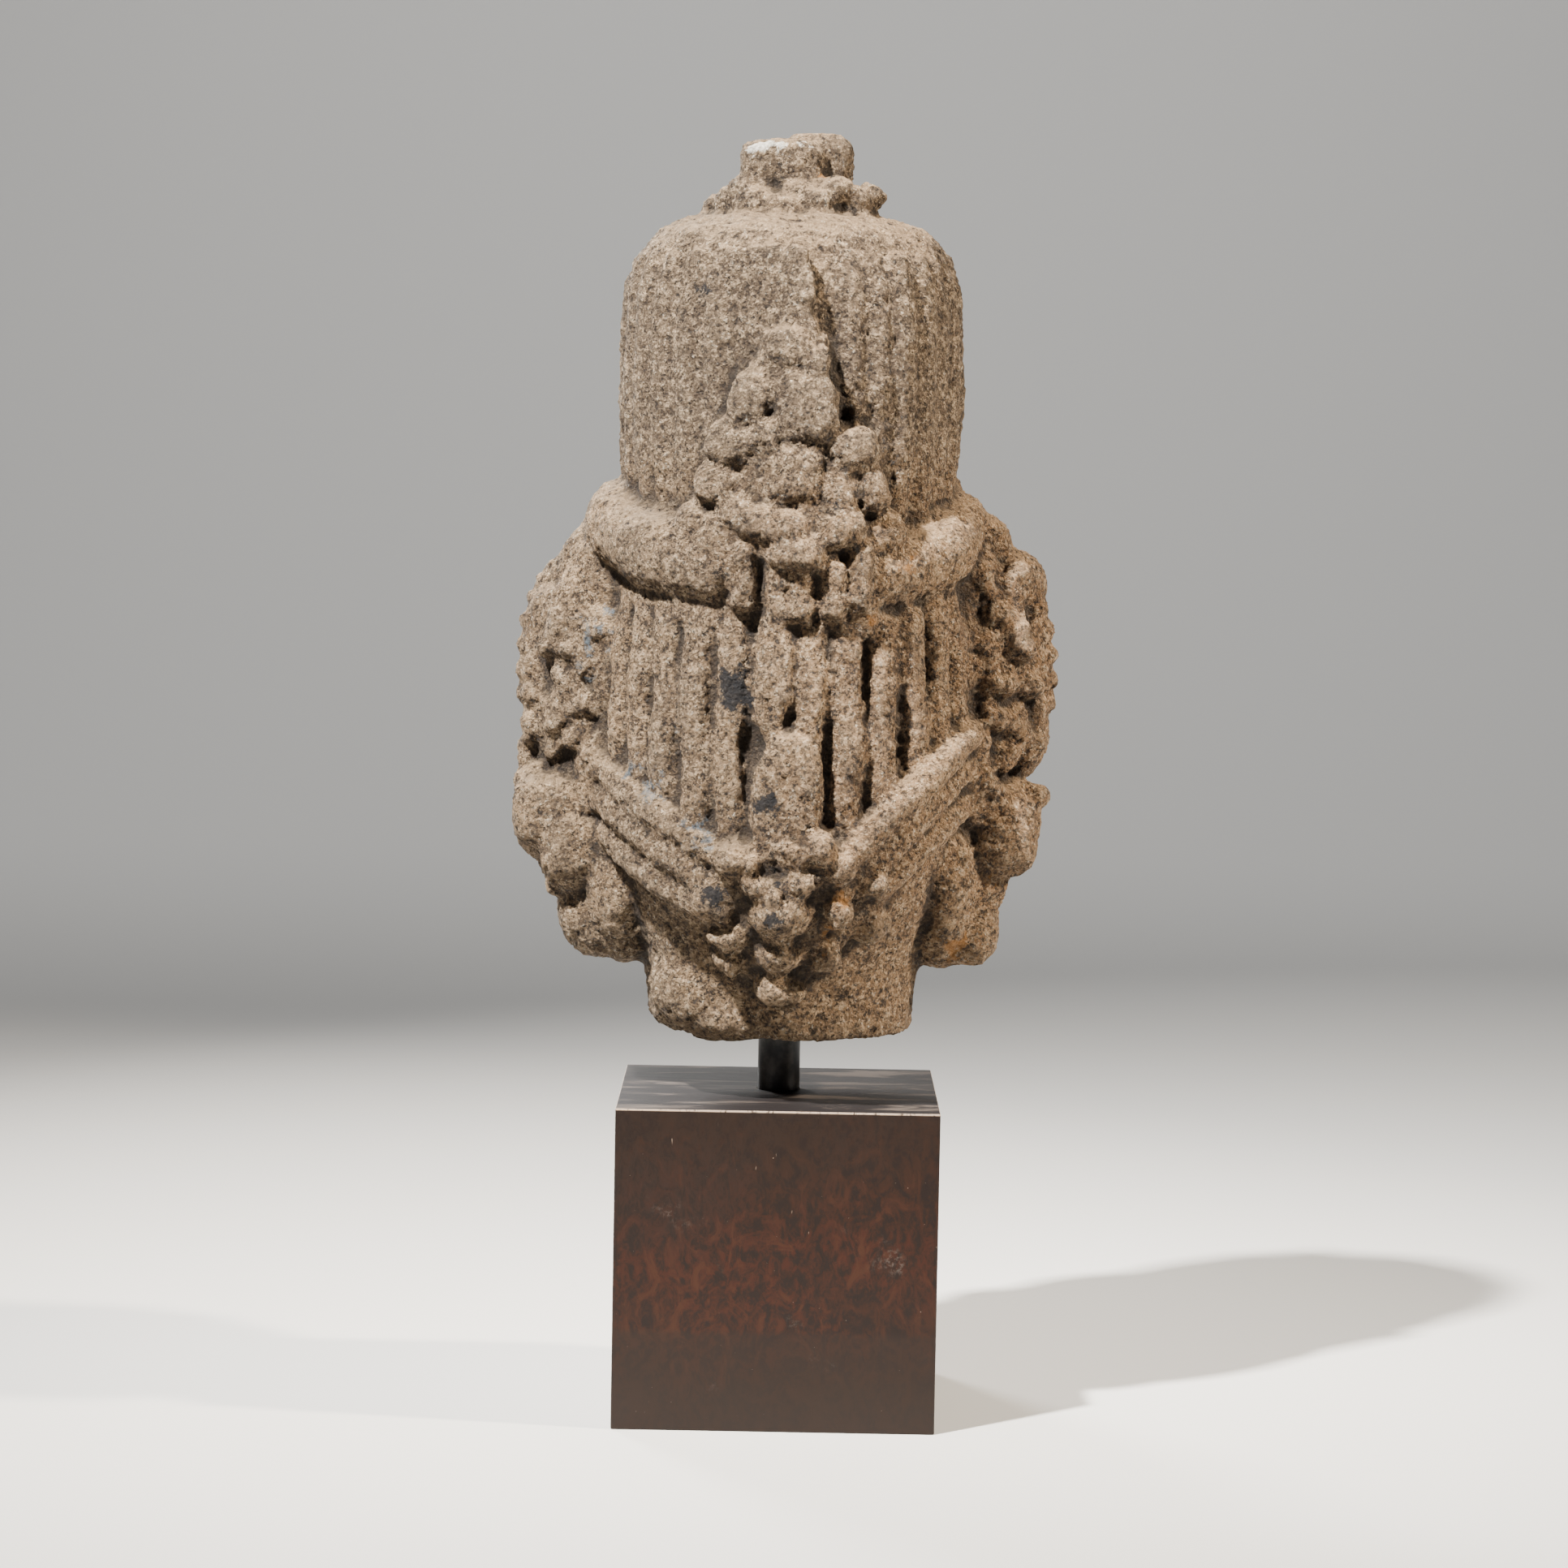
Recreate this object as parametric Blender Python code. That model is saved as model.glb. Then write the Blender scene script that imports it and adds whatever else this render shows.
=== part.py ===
"""Stone head of a bodhisattva, seen from behind in the photograph, on a steel rod in a metal block.

Three pieces: stone_head, mounting_rod and base_block. The face looks towards -Y.
"""

import math

import bmesh
import bpy
from mathutils import Matrix, Vector

# Driving sizes, in metres
BLOCK_SIDE = 0.120
BLOCK_HEIGHT = 0.120
BLOCK_EDGE_BEVEL = 0.0006
ROD_DIAMETER = 0.016
ROD_CHAMFER = 0.0008
ROD_SHOWING = 0.021
ROD_IN_STONE = 0.060
ROD_IN_BLOCK = 0.030
SOCKET_CLEARANCE = 0.0004
STONE_HEIGHT = 0.341

# The carved solid: the grid it is fused on, in hundredths of the stone's height, and its triangles
CARVING_GRID = 0.6
STONE_TRIANGLES = 9300
ROD_SIDES = 32

STONE_FOOT = BLOCK_HEIGHT + ROD_SHOWING
SOCKET_DIAMETER = ROD_DIAMETER + 2 * SOCKET_CLEARANCE

# All carving below is in hundredths of the stone's height, up from the stone's foot.
# "side" runs to the right of someone looking at the nape, and "back" runs from the rod towards them.

# The head under its carving: height, half width, depth behind the rod, depth in front of it
HEAD_STATIONS = (
    (0.3, 14.8, 14.0, 12.0),
    (5.0, 15.0, 14.4, 11.6),
    (10.0, 16.6, 16.4, 12.4),
    (16.0, 18.4, 18.7, 14.4),
    (24.0, 19.8, 20.3, 16.0),
    (34.0, 20.4, 20.9, 18.0),
    (44.0, 20.0, 20.4, 18.6),
    (52.0, 18.6, 18.8, 17.4),
    (60.0, 16.2, 16.4, 15.6),
)
# The chignon: height and radius of its turned outline
CHIGNON_STATIONS = (
    (56.0, 17.8),
    (60.0, 18.0),
    (67.0, 18.4),
    (75.0, 18.4),
    (81.0, 18.0),
    (85.5, 17.2),
    (88.6, 15.6),
    (90.3, 12.6),
    (91.2, 8.0),
)
STRANDS = 30
STRAND_START = math.radians(7.3)
STRAND_DEPTH = 1.7
ROLL_RING = 18.2
ROLL_RADIUS = 4.4
CORD_WIDTH = 3.3


def clear_scene():
    for old in list(bpy.data.objects):
        bpy.data.objects.remove(old)


def at(side, back, up):
    return Vector((-side, back, up))


def blend_stations(stations, up):
    """The stations' values at a height, on a smooth curve through them."""
    last = len(stations) - 1
    below = 0
    while below < last - 1 and stations[below + 1][0] < up:
        below += 1
    around = [stations[min(max(below + step, 0), last)] for step in (-1, 0, 1, 2)]
    span = around[2][0] - around[1][0]
    share = min(max((up - around[1][0]) / span, 0.0), 1.0)
    values = []
    for before, start, end, after in zip(*(station[1:] for station in around)):
        rise_in = (end - before) / 2
        rise_out = (after - start) / 2
        bend = 2 * (start - end) + rise_in + rise_out
        sag = 3 * (end - start) - 2 * rise_in - rise_out
        values.append(((bend * share + sag) * share + rise_in) * share + start)
    return values


def smooth_line(points, steps):
    """Points along a smooth curve through a few given ones."""
    line = []
    for i in range(len(points) - 1):
        before = points[max(i - 1, 0)]
        start, end = points[i], points[i + 1]
        after = points[min(i + 2, len(points) - 1)]
        for step in range(steps):
            t = step / steps
            rise_in = (end - before) / 2
            rise_out = (after - start) / 2
            bend = 2 * (start - end) + rise_in + rise_out
            sag = 3 * (end - start) - 2 * rise_in - rise_out
            line.append(((bend * t + sag) * t + rise_in) * t + start)
    line.append(points[-1])
    return line


def on_head(angle, up, lift=0.0):
    half_width, behind, front = blend_stations(HEAD_STATIONS, up)
    depth = behind if math.cos(angle) > 0 else front
    return at((half_width + lift) * math.sin(angle), (depth + lift) * math.cos(angle), up)


def on_chignon(angle, up, lift=0.0):
    radius = blend_stations(CHIGNON_STATIONS, up)[0] + lift
    return at(radius * math.sin(angle), radius * math.cos(angle), up)


def surface_frame(surface, angle, up, lift=0.0):
    """Across, along and outward directions of a surface, and the point itself."""
    here = surface(angle, up, lift)
    across = (surface(angle + 0.01, up, lift) - here).normalized()
    along = (surface(angle, up + 0.1, lift) - here).normalized()
    out = across.cross(along).normalized()
    return here, across, out.cross(across), out


def angle_at(surface, side, up):
    """The angle at which a surface stands that far to the side."""
    half_width = -surface(math.pi / 2, up).x
    return math.asin(max(-0.99, min(0.99, side / half_width)))


class Carving:
    """Collects overlapping closed forms, which are fused into one solid afterwards."""

    def __init__(self):
        self.forms = bmesh.new()

    def ellipsoid(self, centre, radii, axes=None, fineness=3, squareness=2.0):
        """A rounded lump. A squareness above 2 fills out its corners."""
        turn = Matrix(axes).transposed().to_4x4() if axes else Matrix.Identity(4)
        shape = Matrix.Translation(centre) @ turn @ Matrix.Diagonal((*radii, 1.0))
        ball = bmesh.ops.create_icosphere(self.forms, subdivisions=fineness, radius=1.0)["verts"]
        for vert in ball:
            reach = sum(abs(value) ** squareness for value in vert.co) ** (1 / squareness)
            vert.co = shape @ (vert.co / reach)

    def boss(self, surface, side, up, width, height, proud, tilt=0.0, lift=0.0):
        """A rounded lump on a surface, tilted clockwise as seen from outside."""
        angle = angle_at(surface, side, up)
        here, across, along, out = surface_frame(surface, angle, up, lift)
        turn = Matrix.Rotation(math.radians(-tilt), 3, out)
        axes = (turn @ across, turn @ along, out)
        self.ellipsoid(here, (width / 2, height / 2, proud), axes, fineness=2)

    def rings(self, rings):
        """Closes a skin over rings of points, with a flat end at each."""
        loops = [[self.forms.verts.new(point) for point in ring] for ring in rings]
        for lower, upper in zip(loops, loops[1:]):
            for i in range(len(lower)):
                j = (i + 1) % len(lower)
                self.forms.faces.new((lower[i], lower[j], upper[j], upper[i]))
        self.forms.faces.new(loops[0][::-1])
        self.forms.faces.new(loops[-1])

    def sweep(self, line, outs, width, depth, taper=0.55, sides=10):
        """A rounded cord along a line. outs are the directions in which it stands proud."""
        rings = []
        last = len(line) - 1
        for i, point in enumerate(line):
            ahead = line[min(i + 1, last)] - line[max(i - 1, 0)]
            out = outs[i] if isinstance(outs, list) else outs
            across = ahead.cross(out).normalized()
            proud = across.cross(ahead).normalized()
            share = min(i, last - i) / max(last / 2, 1)
            swell = taper + (1 - taper) * math.sqrt(min(1.0, share * 2))
            ring = []
            for k in range(sides):
                turn = 2 * math.pi * k / sides
                ring.append(
                    point
                    + across * (math.cos(turn) * width / 2 * swell)
                    + proud * (math.sin(turn) * depth * swell)
                )
            rings.append(ring)
        self.rings(rings)

    def sweep_on(self, surface, places, width, depth, lift=0.0, taper=0.7, steps=5):
        """A cord laid on a surface through (side, up) places."""
        flat = smooth_line([Vector((side, up, 0.0)) for side, up in places], steps)
        line, outs = [], []
        for place in flat:
            angle = angle_at(surface, place.x, place.y)
            here, _, _, out = surface_frame(surface, angle, place.y, lift)
            line.append(here)
            outs.append(out)
        self.sweep(line, outs, width, depth, taper)

    def leaf(self, foot, axes, width, height, thickness, levels=12, sides=16):
        """A pointed leaf plaque, broadest at a third of its height, with a rib down its middle."""
        across, along, out = axes
        rings = []
        for level in range(levels + 1):
            t = level / levels
            swell = 0.55 + 0.45 * math.sin(math.pi * min(t / 0.36, 1.0) / 2)
            narrow = math.cos(math.pi / 2 * max(0.0, (t - 0.36) / 0.68)) ** 0.8
            half = width / 2 * swell * narrow
            ring = []
            for k in range(sides):
                turn = 2 * math.pi * k / sides
                ridge = 0.75 + 0.25 * abs(math.sin(turn)) ** 3
                ring.append(
                    foot
                    + along * height * t
                    + across * math.cos(turn) * half
                    + out * math.sin(turn) * thickness * ridge * (0.45 + 0.55 * narrow)
                )
            rings.append(ring)
        self.rings(rings)

    def stack(self, surface, low, high, levels, sides=48):
        """The solid inside a surface, from one height to another."""
        rings = []
        for level in range(levels + 1):
            up = low + (high - low) * level / levels
            rings.append([surface(2 * math.pi * k / sides, up) for k in range(sides)])
        self.rings(rings)


def hair_bed(angle, up):
    """The head's surface, cut back where combed locks lie on it, and broken away round its foot."""
    sunk = 1.6 * min(max((up - ribbon_height(angle)) / 3.0, 0.0), 1.0)
    leftwards = max(0.0, math.sin(-angle)) ** 0.5
    chipped = max(0.0, 1.6 - up) * (0.4 + 1.1 * leftwards)
    return on_head(angle, up, -sunk - chipped)


def ribbon_height(angle):
    """Where the ribbons' upper edge crosses the locks at an angle, or their end behind the ear."""
    side = 20.0 * math.sin(angle)
    if math.cos(angle) < 0.1:
        return 34.0
    return 18.0 + (0.98 * side if side > 0 else -0.72 * side)


def carve_head_mass(stone):
    stone.stack(hair_bed, HEAD_STATIONS[0][0], HEAD_STATIONS[-1][0], 44, sides=90)
    # The nape thickens a little under the ribbons' ends
    stone.ellipsoid(at(-6.5, 9.5, 4.6), (7.5, 5.4, 3.2))


def carve_strands(stone):
    """Combed locks, straight up from the nape to the roll, all round the head."""
    for k in range(STRANDS):
        angle = STRAND_START + k * 2 * math.pi / STRANDS
        low = ribbon_height(angle) - 1.0
        levels = [low + (54.0 - low) * i / 12 for i in range(13)]
        width = blend_stations(HEAD_STATIONS, 40.0)[0] * 2 * math.pi / STRANDS
        line = [on_head(angle, up, -0.9) for up in levels]
        outs = [surface_frame(on_head, angle, up)[3] for up in levels]
        stone.sweep(line, outs, width, STRAND_DEPTH, taper=0.9)


def roll_height(angle):
    """The roll sinks towards the nape."""
    return 56.6 - 5.0 * max(0.0, math.cos(angle)) ** 1.2


def carve_roll(stone):
    """The padded roll round the foot of the chignon, open at the nape for the sash."""
    left_end = math.radians(-17.0)
    right_end = math.radians(24.0)
    steps = 44
    rings = []
    for i in range(steps + 1):
        angle = right_end + (2 * math.pi + left_end - right_end) * i / steps
        outward = at(math.sin(angle), math.cos(angle), 0.0)
        centre = outward * ROLL_RING + at(0.0, 0.0, roll_height(angle))
        ring = []
        for k in range(12):
            turn = 2 * math.pi * k / 12
            swell = ROLL_RADIUS * (1.0 + 0.12 * math.sin(turn))
            ring.append(
                centre
                + outward * (math.cos(turn) * ROLL_RADIUS)
                + Vector((0, 0, math.sin(turn) * swell))
            )
        rings.append(ring)
    stone.rings(rings)


def carve_chignon(stone):
    low, high = CHIGNON_STATIONS[0][0], CHIGNON_STATIONS[-1][0]
    stone.stack(on_chignon, low, high, 24)
    # Upright locks, faint with wear, and one crisp one on the right
    for k in range(5):
        stone.sweep_on(
            on_chignon, [(14.6 - 2.7 * k, 60.0), (14.4 - 2.7 * k, 72.0), (13.6 - 2.7 * k, 85.0)],
            2.5, 0.5, taper=0.8,
        )
    stone.sweep_on(on_chignon, [(16.8, 60.0), (16.8, 72.0), (15.6, 85.0)], 3.0, 0.8, taper=0.8)
    # Looped locks stacked up both flanks and round the front
    for flank in (-1, 1):
        for column in range(4):
            angle = math.radians(97.0 + 17.0 * column)
            for row in range(11):
                up = 62.0 + 2.35 * row
                here, across, along, out = surface_frame(on_chignon, flank * angle, up)
                stone.ellipsoid(here, (2.6, 1.3, 0.9), (across, along, out), fineness=2)


def carve_knob(stone):
    """A broken lotus knob in its ring of petals."""
    petals = 9
    for k in range(petals):
        angle = 2 * math.pi * (k + 0.35) / petals
        outward = at(math.sin(angle), math.cos(angle), 0.0)
        across = outward.cross(Vector((0, 0, 1)))
        rise = (outward * 0.9 + Vector((0, 0, 0.5))).normalized()
        axes = (across, rise, across.cross(rise))
        stone.ellipsoid(outward * 6.7 + at(0, 0, 92.0), (2.3, 2.7, 1.5), axes)
    stone.ellipsoid(at(9.3, 1.0, 93.0), (1.5, 1.8, 1.9))
    stone.ellipsoid(at(0, 0, 91.6), (8.4, 8.4, 2.2))
    stone.ellipsoid(at(0.2, 0, 94.6), (5.2, 5.2, 2.2))
    # Its two halves, split by an upright crack
    stone.ellipsoid(at(-1.5, 1.6, 96.4), (4.4, 3.9, 2.9), squareness=4.0)
    stone.ellipsoid(at(2.2, -1.6, 96.7), (3.9, 4.0, 3.3), squareness=4.0)


def carve_chignon_garland(stone):
    """The hanging bunch of leaves at the back, from rows of lumps that widen as they come down."""
    stone.sweep_on(on_chignon, [(0.8, 84.0), (1.3, 78.0), (1.0, 68.0), (0.4, 60.0)], 4.2, 1.3, taper=0.5)
    stone.boss(on_chignon, 0.2, 65.0, 12.0, 20.0, 2.0)
    stone.boss(on_chignon, 0.2, 58.5, 14.0, 11.0, 3.6)
    rows = (
        (75.8, 0.8, 1.7, 2, 2.4),
        (70.0, -0.8, 2.5, 2, 2.7),
        (64.8, 0.2, 5.2, 3, 3.0),
        (60.2, 0.0, 6.2, 4, 3.6),
        (56.6, 0.4, 4.8, 3, 5.6),
    )
    for up, middle, reach, count, proud in rows:
        for i in range(count):
            share = 2 * i / (count - 1) - 1
            side = middle + reach * share
            stone.boss(on_chignon, side, up - 0.5 * abs(share), 5.2, 5.4, proud, tilt=-25 * share)
    stone.ellipsoid(at(-1.0, 21.6, 56.2), (4.0, 2.6, 1.9))
    stone.ellipsoid(at(0.6, 21.8, 53.6), (3.1, 2.5, 1.7))


def carve_sash_knot(stone):
    """Four upright folds of the sash between the ends of the roll."""
    folds = (
        (-4.5, 47.8, 53.6, 2.9),
        (0.1, 46.8, 53.0, 4.8),
        (4.8, 47.0, 53.6, 2.5),
        (7.1, 47.4, 55.0, 2.2),
    )
    for side, low, high, width in folds:
        line = []
        for i in range(7):
            line.append(at(side, 19.6 + 0.9 * math.sin(math.pi * i / 6), low + (high - low) * i / 6))
        stone.sweep(line, Vector((0, 1, 0)), width, 2.0, taper=0.75)


def carve_nape_ribbons(stone):
    """Flat ribbons of three cords each, from behind the ears down to the flowers at the nape."""
    left = [(-20.6, 30.8), (-15.4, 26.5), (-10.1, 23.1), (-4.0, 19.7)]
    right = [(20.0, 34.4), (13.3, 28.2), (6.5, 21.2), (3.0, 17.6)]
    for places in (left, right):
        for cord in range(3):
            moved = [(side, up - 3.6 * cord) for side, up in places]
            stone.sweep_on(on_head, moved, CORD_WIDTH, 1.7, lift=0.8, taper=0.8)


def carve_nape_flowers(stone):
    """The centre lock and the bunch of rosettes under it."""
    stone.sweep_on(on_head, [(-1.3, 46.5), (-1.3, 40.5), (-1.4, 37.0)], 4.2, 1.2, taper=0.9)
    stone.sweep_on(on_head, [(0.0, 33.0), (0.6, 28.0), (0.9, 21.0)], 7.6, 1.5, taper=0.85)
    stone.boss(on_head, 0.4, 16.6, 19.0, 12.0, 2.4)
    stone.boss(on_head, -0.2, 11.4, 13.0, 11.0, 2.2)
    rows = (
        (21.0, 0.6, 5.2, 3, 5.6),
        (15.6, 0.8, 8.2, 4, 5.6),
        (10.8, -0.1, 5.0, 3, 5.2),
    )
    for up, middle, reach, count, size in rows:
        for i in range(count):
            share = 2 * i / (count - 1) - 1
            stone.boss(on_head, middle + reach * share, up, size, size, 2.4, tilt=20 * share, lift=1.1)
    stone.boss(on_head, -0.1, 15.2, 7.2, 6.8, 3.2, lift=1.2)
    stone.boss(on_head, -0.2, 6.8, 5.2, 4.8, 2.5, lift=0.6)


def carve_side_plaque(stone, hand):
    """The diadem's leaf plaque over the ear, with its rosettes. hand is -1 on the left, 1 on the right."""
    stone.ellipsoid(at(hand * 23.4, -3.0, 41.0), (6.6, 5.2, 12.4), squareness=2.4)
    stone.ellipsoid(at(hand * 20.4, -1.4, 48.0), (5.4, 5.0, 7.6))
    # It runs up under the roll, higher on the right
    stone.ellipsoid(at(hand * 20.6, -2.4, 52.6), (4.4, 4.6, 5.6))
    if hand > 0:
        stone.ellipsoid(at(24.8, -2.4, 50.2), (4.3, 4.6, 4.8))
    # Beaded outer edge
    for k in range(10):
        turn = math.radians(-52.0 + 12.0 * k)
        stone.ellipsoid(
            at(hand * (23.4 + 5.9 * math.cos(turn)), -3.4, 41.0 + 11.8 * math.sin(turn)),
            (1.35, 2.2, 1.25), fineness=2,
        )
    stone.ellipsoid(at(hand * 22.0, -1.2, 33.0), (5.6, 4.6, 9.0))
    # Rosettes behind the ear, where the ribbon starts
    rosettes = (
        (25.6, 1.6, 42.4, 1.8),
        (22.4, 3.2, 39.8, 1.9),
        (26.9, 1.0, 37.0, 2.2),
        (23.6, 3.2, 34.6, 2.6),
        (27.2, 0.6, 32.4, 2.2),
        (23.2, 3.4, 31.6, 2.3),
    )
    for side, back, up, size in rosettes:
        stone.ellipsoid(at(hand * side, back, up), (size, size, size), fineness=2)
    # The leaf's face, towards the front
    stone.ellipsoid(at(hand * 24.4, -7.6, 42.0), (2.6, 1.8, 3.4))
    stone.ellipsoid(at(hand * 24.4, -7.2, 36.0), (2.2, 1.6, 2.2))
    stone.ellipsoid(at(hand * 23.6, -7.0, 47.6), (1.7, 1.5, 2.2))


def carve_ear(stone, hand):
    """A long ear with a flower plug behind it and a heavy pendant."""
    stone.ellipsoid(at(hand * 24.6, 0.4, 23.2), (5.8, 5.6, 6.0))
    stone.ellipsoid(at(hand * 20.2, 0.0, 13.0), (4.8, 5.2, 5.6))
    bridge_side = 22.0 if hand > 0 else 23.4
    stone.ellipsoid(at(hand * bridge_side, 0.0, 18.0), (3.6, 5.0, 4.6))
    if hand > 0:
        stone.ellipsoid(at(28.2, 0.4, 27.0), (1.8, 1.8, 1.2), fineness=2)
    rim = (
        (17.6, -9.6, 22.4),
        (18.6, -9.6, 28.2),
        (20.2, -8.0, 31.6),
        (22.0, -5.4, 29.4),
        (21.6, -5.6, 22.0),
        (20.0, -6.6, 15.0),
        (18.8, -7.6, 10.4),
    )
    line = smooth_line([at(hand * side, back, up) for side, back, up in rim], 4)
    stone.sweep(line, Vector((hand * -0.6, -0.8, 0)).normalized(), 2.2, 1.3, taper=0.8)
    stone.ellipsoid(at(hand * 19.4, -4.6, 22.6), (2.6, 4.4, 8.4))
    stone.ellipsoid(at(hand * 19.4, -5.0, 12.4), (2.8, 3.6, 4.4))


def carve_face(stone):
    """A calm, broad face with lowered lids, on even thirds from chin to hairline."""
    front = Vector((0, -1, 0))
    stone.ellipsoid(at(0, -8.4, 21.6), (15.4, 13.4, 15.8), fineness=4)
    stone.ellipsoid(at(0, -9.4, 13.4), (12.6, 11.0, 7.4), fineness=4)
    stone.ellipsoid(at(0, -17.9, 9.8), (3.8, 3.0, 2.6))
    for hand in (-1, 1):
        stone.ellipsoid(at(hand * 6.8, -15.6, 17.0), (5.2, 4.4, 5.4))
        brow = ((1.3, -21.4, 25.6), (5.4, -20.6, 27.2), (9.4, -17.9, 26.5), (12.2, -14.6, 24.2))
        line = smooth_line([at(hand * side, back, up) for side, back, up in brow], 4)
        stone.sweep(line, front, 1.9, 1.0, taper=0.4)
        stone.ellipsoid(at(hand * 5.9, -18.7, 22.4), (3.6, 2.0, 2.2))
        lid = ((2.5, -19.7, 21.2), (5.6, -20.5, 20.7), (9.2, -18.2, 21.5))
        line = smooth_line([at(hand * side, back, up) for side, back, up in lid], 4)
        stone.sweep(line, front, 1.1, 0.7, taper=0.4)
        stone.ellipsoid(at(hand * 2.0, -21.8, 16.9), (1.5, 2.0, 1.3))
    bridge = [at(0, -20.4, 26.4), at(0, -21.6, 23.0), at(0, -23.3, 19.2), at(0, -24.1, 17.0)]
    stone.sweep(smooth_line(bridge, 4), front, 3.4, 2.0, taper=0.75)
    stone.ellipsoid(at(0, -22.9, 17.0), (2.0, 2.3, 1.6))
    half_lip = (at(4.0, -19.6, 13.7), at(1.5, -21.6, 14.3))
    upper_lip = [Vector((-p.x, p.y, p.z)) for p in half_lip] + [at(0, -21.8, 14.0)] + list(half_lip)[::-1]
    lower_lip = [at(-3.2, -19.7, 12.7), at(0, -21.5, 12.1), at(3.2, -19.7, 12.7)]
    stone.sweep(smooth_line(upper_lip, 3), front, 1.3, 1.1, taper=0.3)
    stone.sweep(smooth_line(lower_lip, 4), front, 1.6, 1.2, taper=0.3)
    # Neck folds
    for up in (4.6, 1.9):
        fold = [on_head(math.radians(115 + 10 * i), up, 0.1) for i in range(14)]
        outs = [Vector((point.x, point.y, 0)).normalized() for point in fold]
        stone.sweep(fold, outs, 2.3, 0.7, taper=0.4)


def carve_diadem(stone):
    """The jewelled band across the brow, with a leaf plaque in the middle and one at each temple."""
    for up, width, proud, lift in ((36.2, 6.4, 2.0, 0.6), (33.9, 1.6, 1.4, 2.2), (38.5, 1.8, 1.4, 2.2)):
        band = [on_head(math.radians(97 + 166 * i / 24), up, lift) for i in range(25)]
        outs = [Vector((point.x, point.y, 0)).normalized() for point in band]
        stone.sweep(band, outs, width, proud, taper=0.9)
    beads = 15
    for k in range(beads):
        angle = math.radians(104 + 152 * k / (beads - 1))
        stone.ellipsoid(on_head(angle, 36.2, 2.6), (1.4, 1.4, 1.4), fineness=2)
    for degrees, height, width in ((180, 17.0, 12.0), (134, 13.0, 9.4), (226, 13.0, 9.4)):
        angle = math.radians(degrees)
        _, across, along, out = surface_frame(on_head, angle, 40.0)
        foot = on_head(angle, 38.5, 1.6)
        axes = (across, along, out)
        stone.leaf(foot, axes, width, height, 3.0)
        for share, scale in ((0.26, 0.22), (0.54, 0.13)):
            heart = foot + along * height * share + out * 2.6
            stone.ellipsoid(heart, (width * scale, width * scale * 1.2, 1.5), axes, fineness=2)


def carve_chignon_front(stone):
    """The tall jewel plaque and the bead band on the front of the chignon."""
    axes = (Vector((-1, 0, 0)), Vector((0, 0, 1)), Vector((0, -1, 0)))
    stone.leaf(at(0, -18.0, 60.0), axes, 13.6, 26.0, 3.4)
    stone.ellipsoid(at(0, -21.0, 68.0), (2.5, 3.4, 1.9), axes)
    stone.ellipsoid(at(0, -20.6, 74.8), (1.7, 2.0, 1.7), axes, fineness=2)
    for k in range(13):
        angle = math.radians(102 + 13 * k)
        stone.ellipsoid(on_chignon(angle, 60.8, 0.5), (1.5, 1.5, 1.4), fineness=2)


def mesh_from(forms, name):
    bmesh.ops.recalc_face_normals(forms, faces=forms.faces)
    mesh = bpy.data.meshes.new(name)
    forms.to_mesh(mesh)
    forms.free()
    return mesh


def evaluated_copy(source):
    """The object's mesh with its modifiers worked into it."""
    graph = bpy.context.evaluated_depsgraph_get()
    mesh = bpy.data.meshes.new_from_object(source.evaluated_get(graph))
    source.modifiers.clear()
    source.data = mesh


def keep_outer_skin(mesh):
    """Deletes every shell but the largest, such as a bubble sealed between forms."""
    skin = bmesh.new()
    skin.from_mesh(mesh)
    waiting = set(skin.verts)
    shells = []
    while waiting:
        first = waiting.pop()
        shell, edge_of_shell = [first], [first]
        while edge_of_shell:
            vert = edge_of_shell.pop()
            for edge in vert.link_edges:
                other = edge.other_vert(vert)
                if other in waiting:
                    waiting.remove(other)
                    shell.append(other)
                    edge_of_shell.append(other)
        shells.append(shell)
    shells.sort(key=len)
    for shell in shells[:-1]:
        bmesh.ops.delete(skin, geom=shell, context="VERTS")
    skin.to_mesh(mesh)
    skin.free()


def new_object(name, mesh, material):
    made = bpy.data.objects.new(name, mesh)
    bpy.context.scene.collection.objects.link(made)
    mesh.materials.clear()
    mesh.materials.append(material)
    return made


def new_material(name, colour, roughness, metallic):
    material = bpy.data.materials.new(name)
    material.use_nodes = True
    shader = material.node_tree.nodes["Principled BSDF"]
    shader.inputs["Base Color"].default_value = (*colour, 1.0)
    shader.inputs["Roughness"].default_value = roughness
    shader.inputs["Metallic"].default_value = metallic
    material.diffuse_color = (*colour, 1.0)
    return material


def cylinder_mesh(name, diameter, low, high, chamfer=0.0):
    shape = bmesh.new()
    middle = Matrix.Translation((0, 0, (low + high) / 2))
    bmesh.ops.create_cone(
        shape, cap_ends=True, segments=ROD_SIDES, radius1=diameter / 2,
        radius2=diameter / 2, depth=high - low, matrix=middle,
    )
    if chamfer:
        rims = [e for e in shape.edges if abs(e.verts[0].co.z - e.verts[1].co.z) < 1e-6]
        bmesh.ops.bevel(shape, geom=rims, offset=chamfer, segments=1, affect="EDGES")
    mesh = mesh_from(shape, name)
    mesh.shade_smooth()
    mesh.set_sharp_from_angle(angle=math.radians(30))
    return mesh


def add_cutter(name, diameter, low, high):
    cutter = bpy.data.objects.new(name, cylinder_mesh(name, diameter, low, high))
    bpy.context.scene.collection.objects.link(cutter)
    cutter.hide_render = True
    cutter.display_type = "WIRE"
    return cutter


def cut(target, cutter):
    boolean = target.modifiers.new("socket", "BOOLEAN")
    boolean.operation = "DIFFERENCE"
    boolean.object = cutter


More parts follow.
